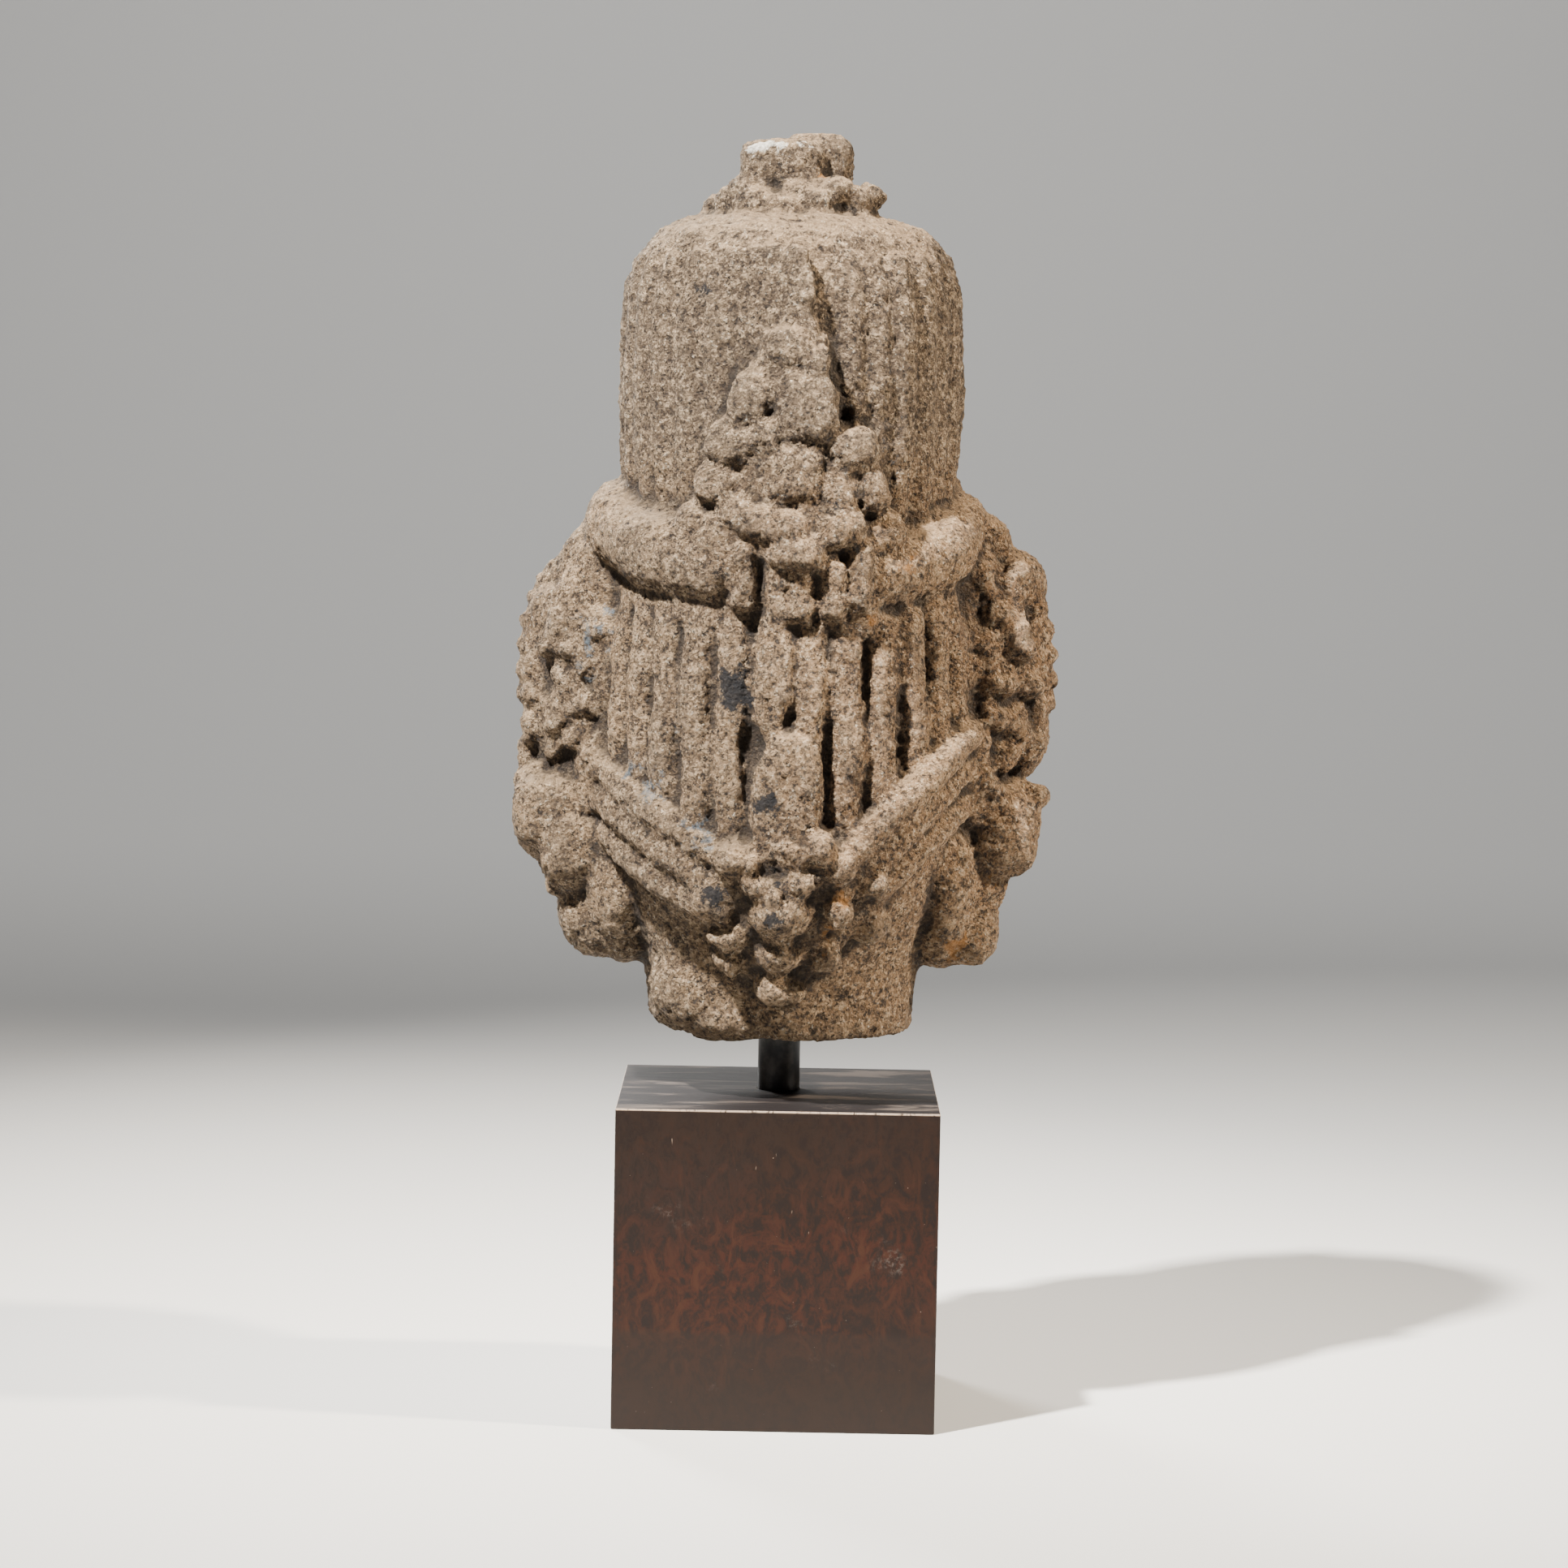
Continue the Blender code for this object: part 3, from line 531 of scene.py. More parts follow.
def carveLocks(stone):
    count, steps = headForm["locks"], headForm["lockSteps"]
    for k in range(count):
        angle = headForm["firstLock"] + k * 2 * math.pi / count
        leftwards = math.sin(angle) < -0.1 and math.cos(angle) > 0
        low = ribbonHeight(angle) - 1.0
        high = rollHeight(angle) - rollForm["rightGirth"] - (1.6 if leftwards else 0.5)
        wear = headForm["leftLockWear"] if leftwards else 0.0
        for sideways in (-1, 0, 1):  # three cords side by side make a flat-topped lock
            line = []
            for i in range(steps + 1):
                up = low + (high - low) * i / steps
                wander = headForm["lockWander"] * math.sin(k * 2.7 + up * 0.35)
                thin = wear * (0.3 + 0.7 * math.sin(k * 1.9 + up * 0.22) ** 2)
                thin += headForm["lockWear"] * math.sin(k * 3.3 + up * 0.6)
                here, across, *_ = axesOn(onHead, angle + wander, up, headForm["lockLift"] - thin)
                line.append(here + across * sideways * headForm["lockHalf"])
            stone.cord(line, headForm["lockGirth"], 0.92, 1)


def carveRoll(stone):
    start, end = math.radians(rollForm["rightEnd"]), math.radians(360 + rollForm["leftEnd"])
    steps = rollForm["steps"]
    for drop, shrink, thick in rollForm["rings"]:
        line, girths = [], []
        for i in range(steps + 1):
            angle = start + (end - start) * i / steps
            leftness = min(max(0.5 - math.sin(angle), 0.0), 1.0)
            girth = rollForm["rightGirth"]
            girth += (rollForm["leftGirth"] - rollForm["rightGirth"]) * leftness
            wave = 0.18 * math.sin(angle * 7.0) + 0.12 * math.sin(angle * 13.0)
            ring, up = rollForm["ring"] - shrink, rollHeight(angle) + drop
            line.append(at(ring * math.sin(angle), ring * math.cos(angle), up))
            atEnd = i in (0, steps)
            girths.append((girth + wave) * thick * (rollForm["endShrink"] if atEnd else 1.0))
        stone.lines.append((line, girths))
    stone.lumpRows(rollForm["slopes"])
    first, step, count, girth = rollForm["ledge"]
    ledge = []
    for i in range(count):
        angle = math.radians(first + step * i)
        ledge.append(onHead(angle, rollHeight(angle) - rollForm["leftGirth"] - 1.0, -1.0))
    stone.cord(ledge, girth, 0.5, 1)


chignonLocks = {
    # cords: degrees round from the nape, and how much more than the lift they stand out.
    # Those beside the deep groove at 46.5 degrees stand out most.
    "cords": (
        (41.0, 0.35), (31.0, 0.0), (21.0, 0.0), (52.5, 0.35), (63.0, 0.0), (74.5, 0.0), (86.0, 0.0),
        (-26.0, 0.06), (-38.0, 0.06), (-50.0, 0.06), (-62.0, 0.06), (-74.0, 0.06), (-86.0, 0.06),
    ),
    "girth": 2.3, "lift": -1.62,
    # the chains of loops round the front, and a chain of small ones down each side
    "loopStep": 2.45, "loopRows": 11, "loopFoot": 61.0, "loopColumns": (99.0, 116.0, 133.0, 150.0),
    "sideFoot": 61.6, "leftSideRadii": (1.5, 1.15, 0.35), "rightSideRadii": (1.5, 1.15, 0.55),
}


def carveChignon(stone):
    stone.stack(onChignon, chignonForm["stations"][0][0], chignonForm["stations"][-1][0], 40)
    for degrees, raised in chignonLocks["cords"]:
        lift = chignonLocks["lift"] + raised
        line = [onChignon(math.radians(degrees), up, lift) for up in range(58, 88, 2)]
        stone.cord(line, chignonLocks["girth"], 0.8, 1)
    step, rows = chignonLocks["loopStep"], chignonLocks["loopRows"]
    for hand in (-1, 1):
        for column, degrees in enumerate(chignonLocks["loopColumns"]):
            for row in range(rows):
                up = chignonLocks["loopFoot"] + step * (row + 0.5 * (column % 2))
                here, *axes = axesOn(onChignon, hand * math.radians(degrees), up)
                stone.lump(here, (2.7, 1.35, 0.95 if column else 0.75), axes)
        radii = chignonLocks["rightSideRadii" if hand > 0 else "leftSideRadii"]
        for row in range(rows):
            up = chignonLocks["sideFoot"] + step * row
            here, *axes = axesOn(onChignon, math.radians(hand * 90.0), up)
            stone.lump(here, radii, axes)


knob = {
    # each row: side, back, up, radii
    "halves": ((-1.5, 1.7, 96.4, 4.6, 3.9, 2.9), (2.5, -1.4, 96.9, 3.9, 4.2, 3.2)),
    "seat": ((0.3, 0.2, 93.6, 5.4, 5.4, 2.4), (0.0, 0.0, 91.4, 8.2, 8.2, 2.0)),
    "petals": (
        (-6.6, 3.2, 92.2, 2.3, 2.4, 2.0), (-4.2, 5.6, 91.8, 2.6, 2.1, 1.9),
        (-5.2, 4.0, 93.6, 2.1, 2.1, 1.6), (-1.0, 6.9, 91.6, 2.8, 1.8, 1.5),
        (2.6, 6.6, 92.0, 2.1, 2.0, 1.8), (4.4, 5.0, 93.4, 2.1, 2.3, 1.7),
        (6.6, 4.2, 92.3, 2.0, 2.1, 1.8), (-8.4, 0.4, 91.7, 1.8, 2.4, 1.6),
        (0.6, 5.4, 93.4, 2.2, 1.8, 1.2),
    ),
    # the ring of petals round the front: first angle, step, count, reach, height and radii
    "ring": (105, 30, 6, 6.8, 91.9), "ringRadii": (2.2, 2.2, 1.6),
    "horn": ((6.4, 1.2, 92.2), (8.2, 1.0, 93.0), (9.2, 0.9, 94.2)), "hornGirth": 1.7,
}


def carveKnob(stone):
    stone.lumpRows(knob["halves"], 4.0)
    stone.lumpRows(knob["seat"] + knob["petals"])
    first, step, count, reach, up = knob["ring"]
    for k in range(count):
        angle = math.radians(first + step * k)
        stone.lump(at(reach * math.sin(angle), reach * math.cos(angle), up), knob["ringRadii"])
    stone.cord([at(*place) for place in knob["horn"]], knob["hornGirth"], 0.9)


garland = {
    # a raised field that breaks off at its right: up, right edge
    "field": (
        (84.6, 2.2), (82.4, 2.6), (80.2, 2.9), (78.0, 3.1), (75.8, 3.3), (73.6, 3.4), (71.4, 3.5),
        (69.2, 3.6),
    ),
    "fieldWidth": 10.0, "fieldProud": 1.0, "fieldRoll": -15.0,
    # the bunch's bed: up, left edge, right edge, proud
    "bed": (
        (79.0, -1.0, 2.6, 1.3), (76.0, -2.8, 3.3, 2.2), (73.0, -3.8, 3.9, 2.5),
        (70.0, -4.8, 4.3, 2.8), (67.0, -5.8, 4.9, 3.0), (64.0, -6.4, 7.4, 3.2),
        (61.0, -7.2, 8.2, 3.4), (58.0, -6.4, 7.0, 4.1), (55.5, -4.8, 6.0, 4.7),
        (53.6, -2.6, 4.6, 4.9),
    ),
    # leaves: side, up, width, height, tilt
    "leaves": (
        (-0.2, 75.6, 4.6, 4.2, 10), (2.6, 74.2, 2.4, 3.6, -6), (-3.9, 70.2, 4.4, 5.6, 14),
        (1.4, 70.0, 6.4, 8.6, -8), (-5.7, 65.6, 5.0, 4.6, 18), (-2.4, 66.2, 3.6, 3.8, 8),
        (0.2, 62.4, 6.6, 6.8, 0), (6.0, 64.9, 5.8, 4.4, -26), (4.6, 60.6, 3.2, 5.6, -6),
        (7.6, 61.2, 3.4, 5.2, -18), (-6.8, 61.0, 5.0, 4.0, 22), (-4.3, 57.9, 5.0, 3.8, 32),
        (-1.4, 56.8, 7.8, 3.8, 8), (4.8, 56.6, 5.0, 3.8, -24), (0.6, 53.6, 6.2, 3.6, 4),
    ),
    "leafDepth": 1.55, "leafLean": 9.0, "leafSpread": 1.1,
}


def bunchHeight(up):  # how far the bunch's bed stands off the chignon
    ups = [row[0] for row in garland["bed"]][::-1]
    return float(np.interp(up, ups, [row[3] for row in garland["bed"]][::-1]))


def carveGarland(stone):
    width, proud, roll = garland["fieldWidth"], garland["fieldProud"], garland["fieldRoll"]
    for up, edge in garland["field"]:
        stone.boss(onChignon, edge - width / 2, up, width, 4.8, proud, roll=roll, squareness=4.0)
    for up, left, right, proud in garland["bed"]:
        middle, width = (left + right) / 2, right - left + 1.4
        stone.boss(onChignon, middle, up, width, 5.0, proud, squareness=3.0)
    for side, up, width, height, tilt in garland["leaves"]:
        width, height = width * garland["leafSpread"], height * garland["leafSpread"]
        bed = bunchHeight(up)
        depth = garland["leafDepth"] + 0.4 * bed
        stone.boss(
            onChignon, side, up, width, height, depth, tilt, 0.5 * bed, garland["leafLean"],
            squareness=3.0,
        )


sashKnot = {
    "bed": ((1.4, 17.9, 50.4, 8.8, 2.3, 6.4),),
    # side, low, high, half width, how far back it stands
    "folds": (
        (-4.7, 47.6, 52.8, 1.5, 20.6), (0.2, 46.4, 52.6, 2.6, 20.9), (4.9, 46.9, 53.2, 1.45, 20.6),
        (7.8, 47.4, 56.0, 1.4, 20.0),
    ),
}


def carveSashKnot(stone):
    stone.lumpRows(sashKnot["bed"], 4.0)
    for side, low, high, halfWidth, back in sashKnot["folds"]:
        skirt = (high - low) * 0.29  # each fold is pinched at its middle
        stone.lumpRows((
            (side, back - 1.7, (low + high) / 2, halfWidth * 0.85, 2.4, (high - low) / 2),
            (side, back - 1.1, low + skirt, halfWidth, 2.3, skirt),
            (side, back - 1.0, high - skirt, halfWidth * 0.95, 2.2, skirt),
        ), 4.0)


ribbons = {
    "left": ((-20.8, 30.9), (-15.4, 26.7), (-10.1, 23.2), (-5.4, 20.7)),
    "right": ((19.9, 34.8), (13.3, 28.4), (6.5, 21.3), (5.0, 19.6)),
    "leftStep": -3.4, "rightStep": -3.8, "girth": 1.75,
    "leftLifts": (0.45, 0.6, 0.9), "rightLifts": (1.25, 0.6, 0.45),
    # lower cords fill the grooves between the three, less so on the right
    "leftBetween": -0.1, "rightBetween": -0.6,
}


def carveRibbons(stone):
    for name in ("left", "right"):
        step = ribbons[name + "Step"]
        for cord in range(3):
            places = [(side, up + step * cord) for side, up in ribbons[name]]
            stone.cordOn(onHead, places, ribbons["girth"], ribbons[name + "Lifts"][cord])
            if cord:
                places = [(side, up + step * (cord - 0.5)) for side, up in ribbons[name]]
                stone.cordOn(onHead, places, ribbons["girth"], ribbons[name + "Between"])


napeForm = {
    "block": (-1.3, 41.6, 4.2, 11.4, 2.4), "strip": (0.3, 26.8, 7.4, 15.6, 1.9),
    # rosettes: side, up, width, height, proud
    "rosettes": (
        (-4.8, 21.0, 5.0, 4.2, 2.9), (1.4, 21.4, 5.0, 3.8, 1.4), (3.6, 22.6, 3.4, 3.6, 2.8),
        (5.4, 20.2, 4.3, 4.3, 3.0), (9.1, 18.5, 3.0, 3.4, 2.6), (-7.1, 16.4, 4.8, 4.8, 2.9),
        (-0.2, 15.4, 7.2, 7.0, 4.2), (5.6, 15.9, 3.3, 4.0, 3.2), (8.9, 13.8, 3.8, 5.2, 2.6),
        (-4.9, 12.5, 4.6, 3.6, 3.2), (-5.1, 9.8, 4.2, 3.2, 2.9), (-0.2, 10.6, 5.8, 4.4, 3.4),
        (4.6, 10.4, 3.1, 4.2, 2.6), (-0.3, 6.6, 5.2, 4.2, 2.9), (-2.4, 18.4, 4.0, 3.4, 3.0),
        (1.9, 18.9, 4.4, 3.0, 3.2),
    ),
    "rosetteLift": 1.0, "rosetteDepth": 3.1,
    # the bed that they lie on
    "bed": ((0.6, 17.6, 18.0, 10.4, 2.0), (-0.6, 13.0, 12.4, 14.6, 2.3)),
}


def carveNape(stone):
    stone.boss(onHead, *napeForm["block"], lift=-0.9, squareness=4.0)
    stone.boss(onHead, *napeForm["strip"], tilt=2.0, squareness=4.0)
    for row in napeForm["bed"]:
        stone.boss(onHead, *row)
    lift = napeForm["rosetteLift"]
    for number, (side, up, width, height, proud) in enumerate(napeForm["rosettes"]):
        depth = napeForm["rosetteDepth"] + (proud - 3.0) * 0.5
        stone.boss(onHead, side, up, width, height, depth, lift=lift, lean=7.0)
        size = (width + height) * 0.26
        turn = 2.4 * number  # a second, smaller lump breaks up each outline
        side, up = side + width * 0.34 * math.cos(turn), up + height * 0.34 * math.sin(turn)
        stone.boss(onHead, side, up, size, size, depth * 0.95, lift=lift)


wing = {
    # masses: side, back, up, radii
    "masses": (
        (23.0, -3.4, 40.6, 6.9, 5.6, 12.6), (20.6, -2.4, 49.4, 5.6, 5.4, 7.8),
        (20.6, -0.4, 37.0, 6.4, 5.8, 12.0), (18.0, 2.6, 17.4, 4.2, 5.8, 8.6),
        (19.2, 2.6, 42.0, 3.6, 4.6, 9.5), (17.4, 1.4, 13.0, 3.5, 5.6, 5.6),
        (19.8, 0.6, 50.0, 4.5, 5.4, 6.4), (24.4, -2.8, 33.6, 5.2, 5.4, 5.8),
        (22.6, 0.8, 43.6, 4.4, 4.8, 8.6), (20.0, 3.0, 28.6, 3.6, 4.2, 7.0),
    ),
    "leftMasses": (
        (25.2, -2.6, 46.4, 3.9, 4.6, 4.0), (24.6, 0.0, 23.6, 6.0, 5.8, 5.8),
        (22.6, 1.2, 19.2, 4.8, 5.0, 4.8), (20.4, 0.2, 13.2, 4.8, 5.2, 5.4),
    ),
    "rightMasses": (
        (24.4, -2.6, 50.2, 4.8, 4.8, 4.6), (21.6, -1.8, 54.6, 3.6, 4.0, 3.8),
        (24.0, 0.4, 23.6, 5.0, 5.8, 5.4), (21.4, 0.0, 17.4, 4.0, 5.0, 4.4),
    ),
    # broken, flat-faced masses: the pendants under the ears
    "leftBlocks": (
        (25.6, 0.8, 24.2, 4.7, 5.0, 4.4), (22.8, 2.4, 20.6, 4.6, 4.4, 4.2),
        (19.6, 0.4, 12.4, 4.2, 4.8, 4.4),
    ),
    "rightBlocks": (
        (24.2, 1.4, 22.0, 4.3, 4.6, 3.8), (20.3, 0.2, 12.3, 4.0, 4.8, 4.5),
        (22.0, 2.0, 25.6, 3.6, 4.0, 3.0),
    ),
    # rosettes: side, up, radius
    "leftRosettes": (
        (26.0, 42.8, 1.6), (21.9, 40.8, 1.7), (24.4, 38.8, 1.9), (27.4, 37.0, 2.0),
        (25.1, 35.0, 2.1), (22.4, 36.6, 1.9), (22.6, 33.0, 2.0), (25.2, 31.8, 1.9),
        (28.2, 33.4, 1.5), (28.5, 30.6, 1.7), (21.0, 30.2, 1.7), (24.2, 29.0, 1.6),
        (26.9, 28.8, 1.5), (23.6, 42.4, 1.3), (28.4, 40.2, 1.4), (20.2, 44.6, 1.4),
        (25.0, 45.6, 1.5),
    ),
    "rightRosettes": (
        (24.8, 50.8, 2.3), (22.9, 47.2, 2.1), (21.9, 43.6, 2.0), (25.6, 44.2, 2.2),
        (23.0, 39.8, 2.4), (26.2, 39.4, 2.3), (22.6, 36.0, 2.2), (25.4, 35.0, 2.2),
        (24.2, 31.6, 2.0), (27.2, 32.4, 1.8), (21.4, 32.4, 1.7), (27.6, 47.2, 1.6),
        (21.6, 51.4, 1.6), (28.0, 36.2, 1.5), (22.4, 28.6, 1.6), (25.6, 28.8, 1.5),
    ),
    # broken lumps on the outline
    "leftEdge": ((28.4, -0.4, 27.6, 2.1, 2.6, 1.4), (28.7, -0.2, 24.0, 1.8, 2.4, 1.6)),
    "rightEdge": ((28.2, 0.2, 26.8, 1.6, 1.9, 1.4),),
    # beads round the edge: side, back and up of its middle, its two radii, and first angle and step
    "edge": (23.2, -3.6, 40.6, 6.0, 12.0), "edgeTurn": (-56.0, 13.2), "edgeBeads": 10,
    "leftBeadRadii": (1.4, 1.9, 1.25), "rightBeadRadii": (1.4, 2.6, 1.25),
    # crumbs: side, up and size are drawn between these
    "crumbs": 20, "crumbRanges": ((19.0, 29.0), (10.0, 54.0), (0.7, 1.3)),
}


def wingBack(hand, side, up):  # how far back the wing's masses reach at a place
    reach = -8.0
    for x, y, z, rx, ry, rz in wing["masses"] + wing["rightMasses" if hand > 0 else "leftMasses"]:
        inside = 1.0 - ((side - x) / rx) ** 2 - ((up - z) / rz) ** 2
        if inside > 0:
            reach = max(reach, y + ry * math.sqrt(inside))
    return reach


def carveWing(stone, hand):
    def lumps(rows, squareness=2.0):
        stone.lumpRows([(hand * side, *rest) for side, *rest in rows], squareness)

    name = "right" if hand > 0 else "left"
    lumps(wing["masses"] + wing[name + "Masses"])
    lumps(wing[name + "Blocks"], 3.0)
    side, back, up, across, along = wing["edge"]
    first, step = wing["edgeTurn"]
    for k in range(wing["edgeBeads"]):
        turn = math.radians(first + step * k)
        place = (side + across * math.cos(turn), back, up + along * math.sin(turn))
        lumps([(*place, *wing[name + "BeadRadii"])])
    for side, up, radius in wing[name + "Rosettes"]:
        back = wingBack(hand, side, up) - radius * 0.28
        lumps([(side, back, up, radius * 0.7, radius * 0.95, radius * 0.7)])
        for k in range(3):
            turn = 2 * math.pi * (k + 0.3 * side) / 3
            reach = radius * 0.55
            petal = (side + reach * math.cos(turn), back - 0.1, up + reach * math.sin(turn))
            lumps([(*petal, radius * 0.62, radius * 0.85, radius * 0.62)])
    dice = random.Random(11 + hand)
    for _ in range(wing["crumbs"]):
        side, up, size = (dice.uniform(*limits) for limits in wing["crumbRanges"])
        back = wingBack(hand, side, up)
        if back > -6.0:
            lumps([(side, back - size * 0.6, up, size, size, size)])
    lumps(wing[name + "Edge"])
    carveEar(stone, hand)


ear = {
    # lines of side, back, up
    "rim": (
        (17.4, -9.6, 21.4), (18.2, -10.2, 26.4), (19.6, -9.8, 30.6), (21.4, -7.6, 31.8),
        (22.4, -5.4, 28.8), (21.8, -5.6, 22.6), (20.4, -6.8, 16.4), (19.2, -8.2, 11.4),
        (18.0, -9.0, 9.4),
    ),
    "inner": (
        (18.8, -9.0, 24.6), (20.0, -8.4, 28.4), (21.0, -6.8, 27.4), (20.4, -6.8, 22.6),
        (18.9, -8.2, 19.8),
    ),
    # side, back, up, radii
    "body": ((19.2, -4.8, 22.6, 2.4, 4.6, 8.6), (18.8, -6.2, 12.6, 2.3, 3.3, 4.8)),
    "plug": (20.6, -6.9, 12.4), "plugRadii": (1.6, 1.9, 1.9),
    "petals": 8, "petalRing": 2.3, "petalRadii": (1.2, 1.0, 1.0),
}


def handed(hand, points):
    return [at(hand * side, back, up) for side, back, up in points]


def carveEar(stone, hand):
    stone.cord(handed(hand, ear["rim"]), 1.05, 0.8)
    stone.cord(handed(hand, ear["inner"]), 0.7, 0.7)
    stone.lumpRows([(hand * side, *rest) for side, *rest in ear["body"]])
    plug = handed(hand, [ear["plug"]])[0]  # a flower plug fills the long lobe
    stone.lump(plug, ear["plugRadii"])
    ring = ear["petalRing"]
    for turn in turnsRound(ear["petals"]):
        petal = plug + Vector((0, ring * math.cos(turn), ring * math.sin(turn)))
        stone.lump(petal, ear["petalRadii"])


face = {
    # side, back, up, radii
    "mass": (
        (0, -8.6, 21.4, 14.4, 13.6, 16.2), (0, -9.6, 12.8, 12.2, 11.4, 7.2),
        (0, -18.6, 8.6, 4.2, 3.2, 2.9), (0, -14.6, 6.4, 6.8, 4.6, 2.2),
    ),
    "cheek": (6.8, -15.4, 16.4, 5.8, 4.6, 6.4), "eyeball": (6.6, -18.0, 22.0, 4.8, 3.5, 3.8),
    "nostril": (2.4, -22.6, 16.4, 1.9, 2.3, 1.6), "mouthCorner": (6.2, -18.2, 12.4, 1.7, 1.7, 1.5),
    "noseTip": (0, -23.8, 16.4, 2.6, 2.8, 2.0), "browMark": (0, -22.2, 29.6, 1.1, 0.8, 1.1),
    # lines of side, back, up
    "brow": ((1.0, -22.0, 25.2), (4.8, -21.8, 27.9), (9.2, -19.2, 28.0), (13.0, -14.8, 24.6)),
    "upperLid": ((2.2, -20.6, 21.8), (4.8, -21.6, 23.2), (8.0, -20.6, 23.0), (11.6, -16.6, 21.2)),
    "lidEdge": ((2.2, -20.9, 20.9), (5.0, -21.9, 20.3), (8.2, -20.6, 20.3), (11.6, -16.6, 20.8)),
    "lowerLid": ((3.0, -20.2, 19.9), (5.6, -20.8, 18.7), (8.6, -19.4, 18.9), (11.0, -16.8, 20.0)),
    "bridge": ((0, -20.4, 26.6), (0, -21.4, 23.0), (0, -22.8, 18.8), (0, -23.2, 16.6)),
    "upperLip": ((6.2, -19.2, 12.7), (3.6, -22.0, 13.2), (1.5, -23.5, 13.9), (0, -23.3, 13.1)),
    "lowerLip": ((5.2, -19.7, 11.6), (2.6, -22.2, 10.3), (0, -23.0, 10.0)),
}


def mirrored(points):  # one line from the left end to the right, through the middle point
    return handed(-1, points[:-1]) + handed(1, reversed(points))


def carveFace(stone):
    stone.lumpRows(face["mass"])
    for hand in (-1, 1):
        for name in ("cheek", "eyeball", "nostril", "mouthCorner"):
            side, *rest = face[name]
            stone.lumpRows([(hand * side, *rest)])
        for name, girth, taper in (
            ("brow", 0.85, 0.35), ("upperLid", 0.9, 0.4), ("lidEdge", 0.62, 0.4),
            ("lowerLid", 0.8, 0.4),
        ):
            stone.cord(handed(hand, face[name]), girth, taper)
    stone.cord([at(*place) for place in face["bridge"]], 2.1, 0.62)
    stone.lumpRows([face["noseTip"]])
    stone.cord(mirrored(face["upperLip"]), 1.15, 0.35)
    stone.cord(mirrored(face["lowerLip"]), 1.5, 0.35)
    stone.lumpRows([face["browMark"]])
    for up in (4.4, 1.9):  # the folds of the neck
        fold = [onHead(math.radians(115 + 10 * i), up, -0.4) for i in range(14)]
        stone.cord(fold, 1.15, 0.4, 1)


diadem = {
    "band": 36.2, "rails": (33.9, 38.5), "beads": 17,
    # degrees round from the nape, height, width
    "plaques": ((180, 17.0, 12.0), (134, 13.0, 9.4), (226, 13.0, 9.4)),
}


def bandLine(up, lift, start=97, sweep=166, count=40):
    return [onHead(math.radians(start + sweep * i / count), up, lift) for i in range(count + 1)]


def carveDiadem(stone):
    for step in (-1.5, 0.0, 1.5):
        stone.cord(bandLine(diadem["band"] + step, 0.6), 1.5, 0.9, 1)
    for up in diadem["rails"]:
        stone.cord(bandLine(up, 2.0), 0.85, 0.9, 1)
    stone.bead(bandLine(diadem["band"], 2.3, 104, 152), 1.25, diadem["beads"], 3)
    for degrees, height, width in diadem["plaques"]:
        angle = math.radians(degrees)
        _, across, along, out = axesOn(onHead, angle, 40.0)
        axes = (across, along, out)
        foot = onHead(angle, 38.5, 1.6)
        stone.leaf(foot, axes, width, height, 3.0)
        rim = []
        for k in range(15):
            t = k / 14
            half = width * 0.46 * math.sin(math.pi * min(1.0, 0.28 + t * 0.72)) ** 0.8
            rim.append((half, height * t * 0.98))
        for sideways in (-1, 1):
            edge = [
                foot + across * sideways * half + along * rise + out * 0.9 for half, rise in rim
            ]
            stone.bead(edge, width * 0.065, 12, 5)
        for share, scale in ((0.26, 0.2), (0.54, 0.12)):
            heart = foot + along * height * share + out * 2.5
            stone.lump(heart, (width * scale, width * scale * 1.2, 1.5), axes)
            for turn in turnsRound(8):
                rise = across * math.cos(turn) * 1.25 + along * math.sin(turn) * 1.4
                stone.lump(heart + rise * width * scale - out * 0.3, (width * scale * 0.4,) * 3)


chignonFront = {
    "foot": (0, -18.0, 60.0), "width": 13.6, "height": 26.0, "thickness": 3.4, "bandBeads": 15,
}


def carveChignonFront(stone):
    across, along, out = Vector((-1, 0, 0)), Vector((0, 0, 1)), Vector((0, -1, 0))
    foot = at(*chignonFront["foot"])
    sizes = (chignonFront[name] for name in ("width", "height", "thickness"))
    stone.leaf(foot, (across, along, out), *sizes)
    jewel = foot + along * 8.2 + out * 3.2
    stone.lump(jewel, (2.4, 3.2, 1.7), (across, along, out))
    for turn in turnsRound(12):
        place = jewel + across * 3.3 * math.cos(turn) + along * 4.1 * math.sin(turn) - out * 0.4
        stone.lump(place, (0.75,) * 3)
    stone.lump(foot + along * 15.4 + out * 2.9, (1.6, 1.9, 1.4), (across, along, out))
    for turn in turnsRound(8):
        ring = across * 2.3 * math.cos(turn), along * 2.6 * math.sin(turn)
        stone.lump(foot + along * 15.4 + ring[0] + ring[1] + out * 2.5, (0.6,) * 3)
    band = [onChignon(math.radians(102 + 156 * i / 40), 61.2, 0.5) for i in range(41)]
    stone.bead(band, 1.35, chignonFront["bandBeads"], 9)


def carveAll():
    stone = Carving()
    for carve in (
        carveHeadMass, carveLocks, carveRoll, carveChignon, carveKnob, carveGarland, carveSashKnot,
        carveRibbons, carveNape, carveFace, carveDiadem, carveChignonFront,
    ):
        carve(stone)
    for hand in (-1, 1):
        carveWing(stone, hand)
    return stone


def triples(items, field):
    values = np.empty(len(items) * 3, np.float32)
    items.foreach_get(field, values)
    return values.reshape(-1, 3)


def coordinates(mesh):
    return triples(mesh.vertices, "co")


def setCoordinates(mesh, values):
    mesh.vertices.foreach_set("co", np.ascontiguousarray(values, np.float32).ravel())
    mesh.update()


